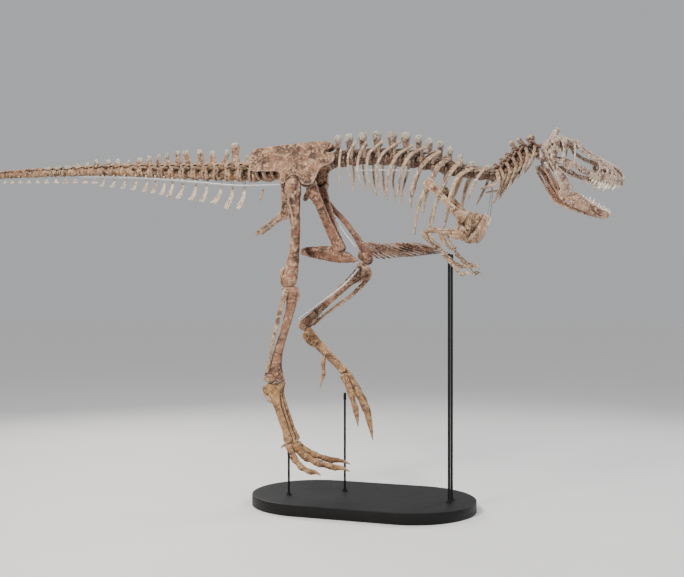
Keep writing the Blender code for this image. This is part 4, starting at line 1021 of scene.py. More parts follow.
# Each rib from its upper head: x and z in millimetres of the head on the process, the shoulder and on.
RIBS = {
    1: ((1092, 2640), (1112, 2559), (1085, 2521), (1028, 2511), (982, 2501)),
    2: ((1018, 2668), (959, 2553), (915, 2460), (898, 2420)),
    3: ((911, 2658), (833, 2607), (778, 2472), (756, 2367), (721, 2219)),
    4: ((834, 2724), (779, 2655), (708, 2513), (656, 2370), (620, 2229)),
    5: ((731, 2739), (678, 2700), (623, 2577), (554, 2445), (515, 2332), (485, 2168)),
    6: ((662, 2802), (584, 2734), (514, 2621), (468, 2484), (455, 2372)),
    7: ((560, 2847), (458, 2779), (404, 2680), (365, 2527), (348, 2465)),
    8: ((448, 2861), (354, 2785), (300, 2662), (269, 2531), (264, 2449)),
    9: ((343, 2899), (233, 2792), (195, 2690), (197, 2604), (223, 2497)),
    10: ((200, 2908), (116, 2801), (111, 2692), (122, 2581), (158, 2484)),
    11: ((72, 2915), (36, 2803), (32, 2668), (67, 2525)),
    12: ((-12, 2928), (-55, 2808), (-50, 2703), (-15, 2575)),
    13: ((-141, 2878), (-132, 2722), (-132, 2541)),
}
RIB_HALF_WIDTH = 0.24


def rib(number, side):
    """A rib: its flat shaft bows out to the flank and thins to its end; the lower head reaches in."""
    marks = mm(RIBS[number])
    walked = np.concatenate([[0], np.cumsum(np.linalg.norm(np.diff(marks, axis=0), axis=1))])
    share = walked / walked[-1]
    wide = RIB_HALF_WIDTH * (1 - 0.13 * max(0, 3 - number)) * (1 - 0.05 * max(0, number - 9))
    head_y, wide = (0.050, 0.150) if number == 1 else (RIB_TIP_Y, wide)
    y = head_y + (wide - head_y) * np.sin(np.minimum(share / 0.62, 1) * np.pi / 2) ** 0.9
    y = y - 0.040 * np.maximum(share - 0.62, 0) / 0.38
    at = np.stack([marks[:, 0], side * y, marks[:, 1]], -1)
    grown_wide = 0.0112 * (1 + 0.35 * math.exp(-(((number - 5) / 3.0) ** 2)))
    grown_wide *= {1: 1.25, 12: 0.90, 13: 0.76}.get(number, 1.0)
    shoulder = 1.75 if number < 9 else 1.35
    size = np.interp(share, (0, 0.08, 0.22, 0.4, 0.8, 1), (1.15, shoulder, 1.25, 1.0, 0.92, 0.62))
    thick = np.interp(share, (0, 0.12, 0.4, 0.8, 1), (0.9, 0.85, 0.66, 0.52, 0.42))
    shaft = tube(
        at, np.stack([size, thick], -1) * grown_wide, across=X, sides=12, pace=0.009, power=2.4, cap=0.9
    )
    k = DORSALS - number
    centre = (back[k] + back[k + 1]) / 2
    lower = centre + np.array([0.030, side * 0.044, 0.012])
    neck_from = at[0] * 0.70 + at[1] * 0.30
    head = (lower, lower * 0.5 + neck_from * 0.5 + Z * 0.008, neck_from)
    return [shaft, tube(head, ((0.015, 0.012), (0.011, 0.009), (0.014, 0.010)), across=X, sides=12)]


for side, suffix in ((-1, "right"), (1, "left")):
    parts = [part for number in RIBS for part in rib(number, side)]
    piece = grown(f"ribs_{suffix}", parts, rib_bone, cell=0.0042, rounds=1, rough=0.0008, turn=side * 2.0)
    kept_as(piece, "bone_brown", f"trunk_{suffix}")

# --- belly ribs ------------------------------------------------------------------------------------
# Rows of thin slanting bones lay in the belly wall. Here they are strung on one wire along the
# middle. A row is two pairs, the outer one lapped over the inner one, and the rear rows are steeper.
GASTRALIA_ROWS = 13
parts = []
for row in range(GASTRALIA_ROWS):
    share = row / (GASTRALIA_ROWS - 1)
    x = 0.112 + 0.0425 * row
    reach = min(1.0, 0.46 + 0.11 * row)
    z = 2.010 + 0.040 * share**2 + 0.004 * math.sin(5 * row)
    steep = 1.10 - 0.50 * share
    wide = 0.115 + 0.080 * math.sin(math.pi * min(1.0, share + 0.15))
    inner = (
        (0.050, -0.016, -0.012), (0.0, wide * 0.22, 0.008), (-0.056, wide * 0.46, 0.034),
        (-0.112, wide * 0.70, 0.064),
    )
    outer = (
        (-0.012, wide * 0.40, 0.026), (-0.068, wide * 0.62, 0.052), (-0.124, wide * 0.84, 0.080),
        (-0.170, wide, 0.100),
    )
    for side in (-1, 1):
        for line, sizes in (
            (inner, (0.0066, 0.0086, 0.0080, 0.0046)), (outer, (0.0046, 0.0076, 0.0076, 0.0062))
        ):
            points = [(x + ahead * reach, side * out, z + up * steep) for ahead, out, up in line]
            parts.append(tube(
                points, [(0.85 * size, size) for size in sizes], sides=12, pace=0.01, cap=0.9
            ))
kept_as(
    grown("gastralia_bones", parts, belly_bone, cell=0.0034, rounds=1, rough=0.0009, turn=1.1), "bone_dark",
    "gastralia",
)
kept_as(
    joined(
        "gastralia_wire",
        [bar(((110, 0, 2004, 5, 5), (400, 0, 2010, 5, 5), (700, 0, 2034, 5, 5)), sides=10)], dark_steel,
    ),
    "stand_steel",
)
runner = [(-0.033, -0.100, 2.695), (0.20, -0.100, 2.686), (0.434, -0.100, 2.672)]
kept_as(joined("rib_wire", [wire(runner, 0.0026, sides=8)], bright_steel), "stand_steel")

# --- neck ------------------------------------------------------------------------------------------
# Short wide vertebrae that climb steeply to the head: rough spines square to the line, broad joint
# wings, and paler two-headed ribs that hang down and back. A steel bar runs through the bodies.
NECK_LINE = mm((
    (1108, 1, 2604), (1142, 4, 2637), (1183, 10, 2676), (1228, 18, 2722), (1277, 27, 2765),
    (1328, 36, 2793), (1390, 47, 2789),
))
CERVICALS = 6
CERVICAL_RADIUS = 0.040
# length of the spine from the middle of the body, how far it leans back, its half breadth at the top
CERVICAL_SPINES = (
    (0.078, 0.10, 0.016), (0.084, 0.06, 0.018), (0.092, 0.06, 0.019), (0.142, 0.10, 0.019),
    (0.132, 0.24, 0.021), (0.124, 0.34, 0.036),
)
nape = spaced(NECK_LINE, np.ones(CERVICALS))


def cervical(k):
    """One neck vertebra, counted from the trunk: (its bone, its ribs, the tip of its spine)."""
    here, after = nape[k], nape[k + 1]
    along = unit(after - here)
    middle = (here + after) / 2
    left = unit(np.cross(Z, along))
    upward = unit(np.cross(along, left) + 0.6 * Z)
    own = (along, left, upward)
    size = 1 - 0.03 * k
    radius = CERVICAL_RADIUS * size
    reach = 0.080 * size
    arch = middle + upward * radius * 1.10
    ridge = ((-0.022, 0, 0, 0.028, 0.020), (0, 0, 0.004, 0.033, 0.026), (0.020, 0, 0, 0.028, 0.020))
    tall, lean, broad = CERVICAL_SPINES[k]
    tip = middle + unit(upward - X * lean) * tall
    spine = between(middle + upward * radius * 0.8, tip, (0, 0.3, 0.62, 0.88, 1.0))
    sizes = ((0.017, 0.027), (0.013, 0.024), (0.014, broad * 0.80), (0.019, broad), (0.015, broad * 0.86))
    made = [
        spool(here, after, radius, radius * 0.94, 0.78, gap=0.002, sides=18),
        laid(arch, own, ridge, across=left), tube(spine, sizes, across=left, sides=18, power=2.6, cap=0.4),
    ]
    processes = (
        # where from, sides, then rows: the rear wing, the knob on it, the front wing, the two rib facets
        (
            arch, 14,
            (
                (0, 0.012, 0.004, 0.018, 0.017), (-0.018, reach * 0.60, 0.026, 0.017, 0.012),
                (-0.040, reach * 0.86, 0.030, 0.017, 0.009),
            ),
        ),
        (arch, 12, ((0, 0.026, 0.014, 0.013, 0.013), (-0.026, 0.044, 0.056, 0.011, 0.009))),
        (
            arch, 14,
            (
                (0, 0.014, -0.004, 0.017, 0.014), (0.024, reach * 0.56, -0.002, 0.016, 0.011),
                (0.046, reach * 0.80, 0.006, 0.015, 0.008),
            ),
        ),
        (
            arch, 12,
            (
                (0, 0.030, 0, 0.017, 0.012), (0, reach * 0.92, -0.020, 0.014, 0.010),
                (0, reach * 0.98, -0.040, 0.012, 0.010),
            ),
        ),
        (middle, 12, ((0.010, 0.020, -0.008, 0.016, 0.012), (0.014, 0.054, -0.024, 0.012, 0.010))),
    )
    drop = (0.205, 0.190, 0.175, 0.160, 0.145, 0.120)[k]
    ribs = []
    for side in (-1, 1):
        for start, sides, rows in processes:
            made.append(laid(start, own, rows, side, across=along, sides=sides))
        out = left * side
        swing = 0.012 * math.sin(2.9 * k + side)
        fork = middle + out * (reach * 0.94) - upward * 0.036 - along * 0.006
        for head in (
            arch + out * reach * 0.96 - upward * 0.034,
            middle + out * 0.052 - upward * 0.030 + along * 0.012,
        ):
            points = (head, (head + fork) / 2, fork - Z * 0.018)
            ribs.append(tube(
                points, ((0.013, 0.011), (0.012, 0.009), (0.012, 0.009)), across=along, sides=12,
                pace=0.008,
            ))
        trail = (
            (0, 0, 0, 0.016, 0.010), (-0.10 * drop, 0.004, -0.30 * drop, 0.012, 0.009),
            (-0.28 * drop - swing * 0.5, 0, -0.66 * drop, 0.0085, 0.007),
            (-0.48 * drop - swing, -0.006, -drop, 0.0045, 0.004),
        )
        ribs.append(laid(fork, (X, left, Z), trail, side, across=along, sides=12, pace=0.010))
    return made, ribs, tip


neck_bone = bone_finish(
    "neck_bone", (0.358, 0.214, 0.132), (0.144, 0.056, 0.028), (0.032, 0.01, 0.005), mottle=13.0,
    crack=14.0, shift=7.7,
)
neck_rib_bone = bone_finish(
    "neck_rib_bone", (0.52, 0.38, 0.24), (0.29, 0.16, 0.085), (0.08, 0.03, 0.015), (12, 12, 3), mottle=10.0,
    crack=12.0, shift=2.9,
)
skull_bone = bone_finish(
    "skull_bone", (0.68, 0.555, 0.45), (0.43, 0.30, 0.22), (0.12, 0.056, 0.036), (9, 9, 9), mottle=11.0,
    crack=11.0, shift=8.3,
)
made = [cervical(k) for k in range(CERVICALS)]
parts = [part for bones, _, _ in made for part in bones]
tips = [tip for _, _, tip in made]
kept_as(
    grown("cervical_bones", parts, neck_bone, cell=0.0042, rounds=1, rough=0.0014, turn=1.7, tips=tips),
    "bone_dark", "neck",
)
parts = [part for _, ribs, _ in made for part in ribs]
kept_as(
    grown("cervical_ribs", parts, neck_rib_bone, cell=0.0036, rounds=1, rough=0.0010, turn=0.7),
    "bone_dark",
)
neck_bar = [(1.085, 0, 2.603), *nape, (1.420, 0.060, 2.792), (1.462, 0.069, 2.790)]
kept_as(joined("neck_bar", [wire(neck_bar, 0.013, sides=12)], dark_steel), "stand_steel")

# The atlas: an open ring of paler bone with two small wings.
ATLAS = np.array([1.398, 0.056, 2.766])
ring_turn = np.linspace(-0.25 * np.pi, 1.25 * np.pi, 15)
atlas_axis = unit(np.array([0.86, 0.40, 0.20]))
atlas_left = unit(np.cross(Z, atlas_axis))
atlas_up = np.cross(atlas_axis, atlas_left)
ring = ATLAS + 0.034 * (np.cos(ring_turn)[:, None] * atlas_left + np.sin(ring_turn)[:, None] * atlas_up)
parts = [tube(ring, [(0.012, 0.009)] * 15, across=atlas_axis, sides=12)]
for side in (-1, 1):
    parts.append(ball(ATLAS + atlas_left * side * 0.030 - atlas_up * 0.016, (0.018, 0.016, 0.020)))
kept_as(grown("atlas_bone", parts, skull_bone, cell=0.004, rounds=1, rough=0.0008), "bone_pale")

# --- shoulders and arms ----------------------------------------------------------------------------
# A long strap of shoulder blade leads down to the rounded coracoid, and the wishbone joins the two.
# The two-fingered arms are pinned there, folded under the chest with their claws forward.
for side, suffix in ((-1, "right"), (1, "left")):
    coracoid = mm((
        (826, 2200, 2250), (850, 2150, 2310), (880, 2114, 2325), (910, 2130, 2335), (940, 2166, 2330),
        (970, 2210, 2322), (992, 2258, 2316), (1004, 2292, 2308),
    ))
    plate = blade(
        coracoid, lambda x, z, s=side: s * (0.240 - 0.95 * (x - 0.838)), lambda x, z: 0.0055 + 0 * x,
        sides=36,
    )
    parts = [
        bar(
            (
                (596, 268, 2560, 6, 40), (618, 272, 2538, 7, 43), (650, 278, 2505, 8, 34),
                (695, 281, 2458, 9, 28), (740, 282, 2410, 10, 26), (795, 274, 2345, 12, 28),
                (845, 258, 2300, 15, 40), (876, 238, 2276, 17, 56),
            ),
            side, sides=20, power=2.4,
        ),
        plate,
        bar(
            (
                (1004, 90, 2302, 9, 12), (994, 102, 2266, 11, 14), (974, 122, 2219, 13, 17),
                (950, 145, 2177, 14, 18), (921, 172, 2139, 13, 16), (892, 198, 2114, 10, 12),
            ),
            side, sides=14,
        ),
        bar(
            (
                (845, 246, 2300, 12, 22), (872, 224, 2272, 15, 30), (894, 208, 2238, 16, 32),
                (900, 202, 2196, 12, 22),
            ),
            side, sides=16,
        ),
        bar(((866, 262, 2196, 18, 20), (880, 270, 2176, 16, 22), (888, 268, 2160, 14, 16)), side, sides=14),
        bar(((790, 276, 2372, 6, 12), (838, 266, 2328, 7, 14), (880, 246, 2316, 7, 12)), side, sides=12),
    ]
    kept_as(
        grown(f"shoulder_{suffix}", parts, rib_bone, cell=0.005, rough=0.0014, turn=side + 4), "bone_brown",
        f"scapula_{suffix}",
    )

WISHBONE = (
    (1.014, -0.080, 2.318), (1.024, -0.062, 2.292), (1.020, -0.036, 2.256), (1.014, -0.012, 2.238),
    (1.013, 0.0, 2.236), (1.014, 0.012, 2.238), (1.020, 0.036, 2.256), (1.024, 0.062, 2.292),
    (1.014, 0.080, 2.318),
)
wish_sizes = [(0.005 + 0.003 * math.sin(math.pi * k / 8), 0.0065) for k in range(9)]
piece = grown(
    "wishbone", [tube(WISHBONE, wish_sizes, across=X, sides=14, pace=0.006)], ivory_bone, cell=0.003,
    rounds=1, rough=0.0004,
)
kept_as(piece, "bone_pale", "furcula")
for number, side in enumerate((-1, 1), start=1):
    kept_as(
        joined(
            f"wishbone_wire_{number}",
            [bar(
                (
                    (1022, 58, 2300, 2.4, 2.4), (1032, 50, 2380, 2.4, 2.4), (1044, 36, 2470, 2.4, 2.4),
                    (1048, 12, 2560, 2.4, 2.4), (1048, 6, 2590, 2.4, 2.4),
                ),
                side, sides=8, pace=0.02,
            )],
            dark_steel,
        ),
        "stand_steel",
    )


def phalanx(start, end, radius):
    """A finger or toe bone: a wide cupped base, a waist, and a grooved roller at the far end."""
    sizes = np.array(((0.98, 1.02), (0.94, 0.98), (0.70, 0.72), (0.84, 0.86), (0.76, 0.84))) * radius
    points = between(start, end, (0.04, 0.16, 0.50, 0.82, 0.95))
    made = [tube(points, sizes, sides=14, pace=max(radius / 4, 0.003), cap=0.35)]
    knob = ((-0.15, 0.42, 0, 0.36, 0.80), (0.22, 0.42, 0, 0.36, 0.80))
    own = np.array((unit(end - start), Y, Z)) * radius
    for turn in (-1, 1):
        made.append(laid(
            start + (end - start) * 0.90, own, knob, turn, radius, sides=12, pace=0.004, cap=0.9
        ))
    return made


def claw(start, end, radius, over):
    """A claw core: a deep base with a knob under it, then an even taper that bows up and over."""
    points = between(start, end, (0, 0.28, 0.55, 0.82, 1)) + np.outer((0, 0.55, 0.95, 0.55, 0), Z * over)
    sizes = np.array(((0.66, 0.98), (0.60, 0.84), (0.44, 0.62), (0.26, 0.36), (0.07, 0.08))) * radius
    drop = unit(np.cross(end - start, Y))
    drop = drop if drop[2] < 0 else -drop
    heel = ball(start + (end - start) * 0.16 + drop * radius * 0.66, (radius * 0.34,) * 3, 12)
    return [tube(points, sizes, sides=14, pace=max(radius / 5, 0.002), cap=0.3), heel]


def digit(knuckles, radii, over):
    """A toe or finger through its knuckles: a bone for each radius, and a claw for the last one."""
    made = []
    for near, far, radius in zip(knuckles, knuckles[1:-1], radii):
        made += phalanx(near, far, radius)
    return made + claw(knuckles[-2], knuckles[-1], radii[-1], over)


for side, suffix in ((-1, "right"), (1, "left")):
    lift = 0.0 if side < 0 else 0.025
    rise = Z * lift
    up = lift * 1000
    upper = (
        (892, 264, 2150, 20, 28), (868, 272, 2154, 24, 34), (842, 281, 2158, 22, 32),
        (790, 288, 2163, 17, 26), (730, 294, 2171, 15, 22), (670, 301, 2180 + up / 2, 18, 21),
        (632, 305, 2186 + up, 25, 23), (614, 306, 2188 + up, 22, 20),
    )
    crest = ((850, 292, 2138, 8, 14), (812, 300, 2132, 8, 16), (772, 298, 2148, 6, 10))
    parts = [bar(upper, side, sides=18), bar(crest, side, sides=12)]
    for out in (-0.013, 0.013):
        parts.append(ball((0.612, side * (0.306 + out), 2.182 + lift), (0.016, 0.013, 0.017)))
    kept_as(
        grown(f"upper_arm_{suffix}", parts, rib_bone, cell=0.004, rough=0.0012, turn=side), "bone_brown",
        f"humerus_{suffix}",
    )
    for name, rows in (
        (
            "radius",
            (
                (632, 322, 2152, 13, 14), (645, 316, 2132, 11, 12), (668, 303, 2100, 9, 10),
                (692, 282, 2072, 12, 12), (703, 272, 2060, 13, 14),
            ),
        ),
        (
            "ulna",
            (
                (574, 298, 2176, 13, 14), (590, 294, 2152, 18, 23), (616, 284, 2108, 13, 15),
                (654, 262, 2070, 11, 13), (682, 244, 2048, 14, 15),
            ),
        ),
    ):
        lifted = np.array(rows) + (0, 0, lift * 1000, 0, 0)
        piece = grown(
            f"{name}_{suffix}_bone", [bar(lifted, side, sides=14)], rib_bone, cell=0.003, rounds=1,
            rough=0.0008,
        )
        kept_as(piece, "bone_brown", f"{name}_{suffix}")
    wrist = mm(((700, 272, 2040), (704, 250, 2036), (716, 262, 2024), (719, 244, 2022)))
    outer = mm(((716, 236, 2012), (770, 222, 1965), (835, 210, 1915), (930, 196, 1868)))
    inner = mm(((720, 262, 2008), (775, 262, 1945), (826, 258, 1885), (862, 254, 1846), (930, 248, 1834)))
    wrist, outer, inner = (sided(points, side) + rise for points in (wrist, outer, inner))
    parts = [ball(at, (0.015, 0.013, 0.012), 12) for at in wrist]
    parts += digit(outer, (0.019, 0.0165, 0.019), 0.020)
    parts += digit(inner, (0.018, 0.015, 0.0135, 0.017), 0.022)
    piece = grown(
        f"hand_{suffix}_bones", parts, rib_bone, cell=0.0028, rounds=1, rough=0.0005, turn=side * 3
    )
    kept_as(piece, "bone_brown", f"hand_{suffix}")

# --- legs ------------------------------------------------------------------------------------------
# Stout hollow limb bones, heavy with mineral, held by steel at knee, ankle and foot. The right
# leg hangs almost straight with its toes just off the base; the left is drawn up to stride.


def axes_of(top, low, side):
    """A leg bone's own axes: its whole length down, outward to its side, and forward."""
    down = low - top
    ahead = np.cross(Y, unit(down))
    return down, Y * side, ahead if ahead[0] > 0 else -ahead


def thigh_bone(hip, knee, side, stout):
    """Femur: a bowed shaft, a ball turned in to the socket, trochanters and two knee rollers."""
    own = axes_of(hip, knee, side)
    down, outward, ahead = own
    # share of the length, outward, forward bow, half width, half depth
    shaft = np.array((
        (-0.034, 0, 0.004, 0.026, 0.028), (0.00, 0, 0.004, 0.042, 0.052), (0.05, 0, 0.002, 0.048, 0.067),
        (0.12, 0, 0.008, 0.044, 0.064), (0.20, 0, 0.018, 0.037, 0.049), (0.36, 0, 0.031, 0.034, 0.039),
        (0.50, 0, 0.036, 0.034, 0.038), (0.66, 0, 0.030, 0.036, 0.041), (0.80, 0, 0.016, 0.042, 0.052),
        (0.90, 0, 0.000, 0.052, 0.062), (0.955, 0, -0.008, 0.056, 0.066), (0.985, 0, -0.012, 0.050, 0.056),
    ))
    shaft[:, 3:] *= 1 - (1 - stout) * np.clip(5 * shaft[:, :1] - 0.5, 0, 1)
    neck = (
        (0.028, 0, 0, 0.044, 0.034), (0.030, -0.050, 0.002, 0.038, 0.032),
        (0.032, -0.074, 0.004, 0.040, 0.036),
    )
    lesser = (
        (0.135, 0.020, 0.048, 0.015, 0.020), (0.070, 0.024, 0.060, 0.014, 0.018),
        (0.012, 0.022, 0.056, 0.010, 0.013),
    )
    fourth = (
        (0.27, -0.012, -0.018, 0.008, 0.010), (0.34, -0.014, -0.018, 0.010, 0.016),
        (0.42, -0.014, -0.006, 0.007, 0.009),
    )
    ridge = (
        (0.13, 0.040, -0.020, 0.011, 0.012), (0.28, 0.037, 0.006, 0.010, 0.012),
        (0.46, 0.030, 0.034, 0.009, 0.010), (0.64, 0.026, 0.040, 0.006, 0.007),
    )
    knob = (
        (0.840, 0.026, -0.046, 0.014, 0.014), (0.895, 0.028, -0.066, 0.020, 0.020),
        (0.925, 0.028, -0.060, 0.016, 0.016),
    )
    made = [
        laid(hip, own, shaft, sides=24, power=2.2),
        laid(hip, (down, outward, Z), neck, across=ahead, sides=20), laid(hip, own, lesser, sides=14),
        laid(hip, own, fourth, sides=12),
    ]
    for out, size in ((-0.030, 0.94), (0.030, 1.0)):
        roller = (
            (0.90, out, -0.020, 0.018, 0.030), (0.955, out, -0.026, 0.026, 0.050),
            (0.990, out, -0.022, 0.024, 0.044),
        )
        made.append(laid(hip, (down, Y, ahead), roller, 1, size * (1 + stout) / 2, sides=18, cap=0.7))
    return made + [laid(hip, own, ridge, sides=12), laid(hip, own, knob, sides=14)]


def shin_bone(knee, ankle, side, room, bend, spread):
    """Tibia with its crest in front of the knee, and the ankle roller that is fused to its foot."""
    own = axes_of(knee, ankle, side)
    fore = own[2]
    shaft = np.array((
        (0.030 + room, -0.010, 0.006, 0.044, 0.050), (0.055 + room, -0.010, 0.006, 0.050, 0.062),
        (0.10 + room, -0.010, 0.004, 0.044, 0.052), (0.18 + room * 0.7, -0.010, 0.004, 0.034, 0.042),
        (0.32, -0.010, 0.002, 0.029, 0.037), (0.50, -0.010, -0.004, 0.027, 0.034),
        (0.68, -0.010, -0.006, 0.029, 0.033 + 0.2 * spread),
        (0.82, -0.010, -0.006, 0.038, 0.038 + 0.5 * spread), (0.90, -0.010, -0.006, 0.050, 0.044 + spread),
        (0.945, -0.010, -0.004, 0.060, 0.054 + spread),
    ))
    shaft[:, 2] += bend * np.interp(shaft[:, 0], (0, 0.18, 0.36, 0.55, 0.70), (0.35, 1.0, 0.8, 0.45, 0.0))
    crest = (
        (0.036 + room, -0.002, 0.050, 0.014, 0.026), (0.075 + room, -0.002, 0.074, 0.013, 0.030),
        (0.13 + room, -0.002, 0.058, 0.011, 0.026), (0.22 + room, -0.002, 0.030, 0.009, 0.018),
        (0.30 + room, -0.002, 0.020, 0.007, 0.010),
    )
    made = [laid(knee, own, shaft, sides=24, power=2.3), laid(knee, own, crest, sides=16)]
    for out in (-0.026, 0.026):
        at = knee + np.array((0.048 + room, side * out - 0.010, -0.026)) @ np.array(own)
        made.append(ball(at, (0.034, 0.024, 0.030)))
    roller = [
        (0.965, side * out - 0.004, 0.004, wide + spread, deep)
        for out, wide, deep in (
            (-0.056, 0.044, 0.030), (-0.030, 0.050, 0.036), (0.0, 0.044, 0.030), (0.030, 0.052, 0.037),
            (0.056, 0.046, 0.030),
        )
    ]
    rising = (
        (0.955, 0, 0.038, 0.044, 0.010), (0.88, 0, 0.036, 0.030, 0.008), (0.79, 0, 0.026, 0.012, 0.006)
    )
    made += [laid(knee, own, roller, across=fore, sides=20, cap=0.4), laid(knee, own, rising, sides=16)]
    made.append(ball(knee + np.array((0.945, 0.052, -0.014)) @ np.array(own), (0.030, 0.016, 0.030)))
    return made


def splint_bone(knee, ankle, side, room, offs):
    """Fibula: a flat head beside the knee that narrows to a thin splint along the shin."""
    rows = np.array((
        (0.060 + room, 0.046, 0, 0.010, 0.024), (0.095 + room, 0.047, 0, 0.012, 0.026),
        (0.14 + room, 0.046, 0, 0.012, 0.023), (0.24 + room, 0.042, 0, 0.011, 0.022),
        (0.40, 0.036, 0, 0.010, 0.019), (0.60, 0.038, 0, 0.0095, 0.016), (0.76, 0.036, 0, 0.009, 0.014),
        (0.90, 0.030, 0, 0.011, 0.019),
    ))
    rows[:, 2] = offs
    return [laid(knee, axes_of(knee, ankle, side), rows, sides=16)]


def sole_bones(ankle, foot, side, room, spread):
    """Metatarsus: three long bones, the middle one pinched, with rollers; a splint lies behind."""
    own = axes_of(ankle, foot, side)
    down, outward, crest = own
    made = []
    for place, reach, width in ((-1, 0.94, 0.022), (0, 1.0, 0.024), (1, 0.93, 0.022)):
        pinch = 0.55 if place == 0 else 1.0
        y = place * 0.027
        far = place * 0.045
        rows = np.array((
            (0.040 + room, y, 0, 1.20 * pinch, 0.060 + spread),
            (0.075 + room, y, 0, 1.25 * pinch, 0.062 + spread),
            (0.16 + room, y, 0, 1.02 * pinch, 0.047 + 0.3 * spread),
            (0.34 + room * 0.6, y * 1.02, 0, 0.86 * pinch, 0.034),
            (0.60, y * 1.12, 0, 0.84 * (1 + pinch) / 2, 0.030), (0.80, y * 1.3, 0, 0.92, 0.030),
            (0.90 * reach, far * 0.92, 0, 1.0, 0.033),
        ))
        rows[:, 2] = -0.016 * place * np.minimum(1.0, rows[:, 0] * 3)
        rows[:, 3] *= width
        made.append(laid(ankle, own, rows, sides=18, power=2.3))
        for turn in (-1, 1):
            out = side * far + turn * width * 0.52
            knob = [
                (reach * share, out, -0.016 * place, wide, deep)
                for share, wide, deep in (
                    (0.90, 0.009, 0.024), (0.955, 0.0120, 0.036), (0.985, 0.0105, 0.031)
                )
            ]
            made.append(laid(ankle, (down, Y, crest), knob, sides=14, cap=0.8))
    fifth = [
        (share + room, 0.032, -back - 0.6 * spread, wide, deep)
        for share, back, wide, deep in (
            (0.070, 0.058, 0.012, 0.016), (0.13, 0.064, 0.010, 0.014), (0.20, 0.058, 0.009, 0.012),
            (0.28, 0.044, 0.006, 0.008),
        )
    ]
    return made + [laid(ankle, own, fifth, sides=12)]


leg_bone = bone_finish(
    "leg_bone", (0.48, 0.305, 0.19), (0.255, 0.122, 0.066), (0.06, 0.022, 0.012), (14, 14, 2.2), crack=6.0,
    mottle=5.0, shift=9.2, gloss=0.05,
)
# A darker copy of the leg bone for the left thigh, the far one: painted shade, as that thigh stands in
# shade.
shaded_far_leg_bone = bone_finish(
    "shaded_far_leg_bone", (0.32, 0.16, 0.09), (0.135, 0.05, 0.028), (0.034, 0.012, 0.007), (14, 14, 2.2),
    crack=6.0, mottle=5.0, shift=4.4, gloss=0.04,
)
foot_bone = bone_finish(
    "foot_bone", (0.56, 0.345, 0.165), (0.33, 0.17, 0.07), (0.075, 0.028, 0.012), (12, 12, 4), crack=9.0,
    mottle=10.0, shift=10.4, gloss=0.06,
)

LEGS = (
    # side, name, hip, knee, ankle, foot, rooms at knee and ankle, forward bend and spread of the shin,
    # then how far ahead of the shin's axis each row of the fibula stands
    (
        -1, "right", (HIP_X, -HIP_Y, HIP_Z), (-0.545, -0.205, 1.780), (-0.700, -0.190, 0.990), (
            -0.522, -0.180, 0.494
        ),
        0.0, 0.0, 0.032, 0.030, (-0.010, -0.012, -0.017, -0.027, -0.038, -0.047, -0.050, -0.058),
    ),
    (
        1, "left", (HIP_X, HIP_Y + 0.014, HIP_Z - 0.012), (0.015, 0.215, 1.995), (-0.592, 0.180, 1.432),
        (-0.176, 0.155, 1.046), 0.055, 0.075, 0.0, -0.004, (
            0.058, 0.070, 0.080, 0.088, 0.088, 0.062, 0.046, 0.040
        ),
    ),
)
for side, suffix, hip, knee, ankle, foot, knee_room, ankle_room, bend, spread, offs in LEGS:
    hip, knee, ankle, foot = (np.array(p, float) for p in (hip, knee, ankle, foot))
    # The far thigh takes the darker copy of the leg bone, as painted shade.
    thigh_finish = leg_bone if side < 0 else shaded_far_leg_bone
    thigh = thigh_bone(hip, knee, side, 1.0 if side < 0 else 0.62)
    shin = shin_bone(knee, ankle, side, knee_room, bend, spread)
    splint = splint_bone(knee, ankle, side, knee_room, offs)
    sole = sole_bones(ankle, foot, side, ankle_room, spread)
    for node, ending, parts, finish, cell, rough in (
        ("femur", "bone", thigh, thigh_finish, 0.0055, 0.0026), (
            "tibia", "bone", shin, leg_bone, 0.005, 0.0022
        ),
        ("fibula", "bone", splint, rib_bone, 0.0042, 0.0012), (
            "metatarsus", "bones", sole, foot_bone, 0.0045, 0.0016
        ),
    ):
        name = f"{node}_{suffix}_{ending}"
        piece = grown(name, parts, finish, cell=cell, rough=rough, turn=side + 300 * cell)
        kept_as(piece, "bone_tan", f"{node}_{suffix}")

TOES = (
    # node, radius of its first bone, knuckles from the sole to the claw's point, in millimetres
    (
        "toe_3_right", 37,
        ((-522, -178, 484), (-425, -174, 402), (-318, -168, 356), (-195, -160, 330), (-48, -152, 298)),
    ),
    ("toe_2_right", 33, ((-520, -128, 500), (-410, -92, 418), (-262, -62, 370), (-84, -40, 338))),
    (
        "toe_4_right", 33,
        ((-542, -232, 496), (-488, -250, 392), (-425, -260, 332), (-350, -268, 302), (-248, -276, 276)),
    ),
    ("hallux_right", 20, ((-572, -116, 502), (-612, -110, 478), (-668, -104, 444))),
    (
        "toe_3_left", 37,
        ((-172, 155, 1044), (-95, 156, 915), (-30, 157, 785), (8, 157, 680), (42, 156, 510)),
    ),
    ("toe_2_left", 33, ((-194, 102, 1052), (-120, 74, 900), (-75, 60, 775), (-52, 52, 626))),
    (
        "toe_4_left", 32,
        ((-188, 208, 1046), (-118, 232, 930), (-65, 242, 840), (-30, 248, 755), (2, 252, 635)),
    ),
    ("hallux_left", 22, ((-346, 102, 1232), (-370, 90, 1150), (-360, 84, 1050), (-394, 78, 926))),
)
for node, radius, knuckles in TOES:
    bones = len(knuckles) - 2
    radii = [radius / 1000 * (1 - 0.10 * k) for k in range(bones)] + [radius / 1000 * (1 - 0.09 * bones)]
    piece = grown(
        f"{node}_bones", digit(mm(knuckles), radii, 0.014), foot_bone, cell=0.0036, rounds=1, rough=0.0012,
        turn=radius / 5,
    )
    kept_as(piece, "bone_tan", node)

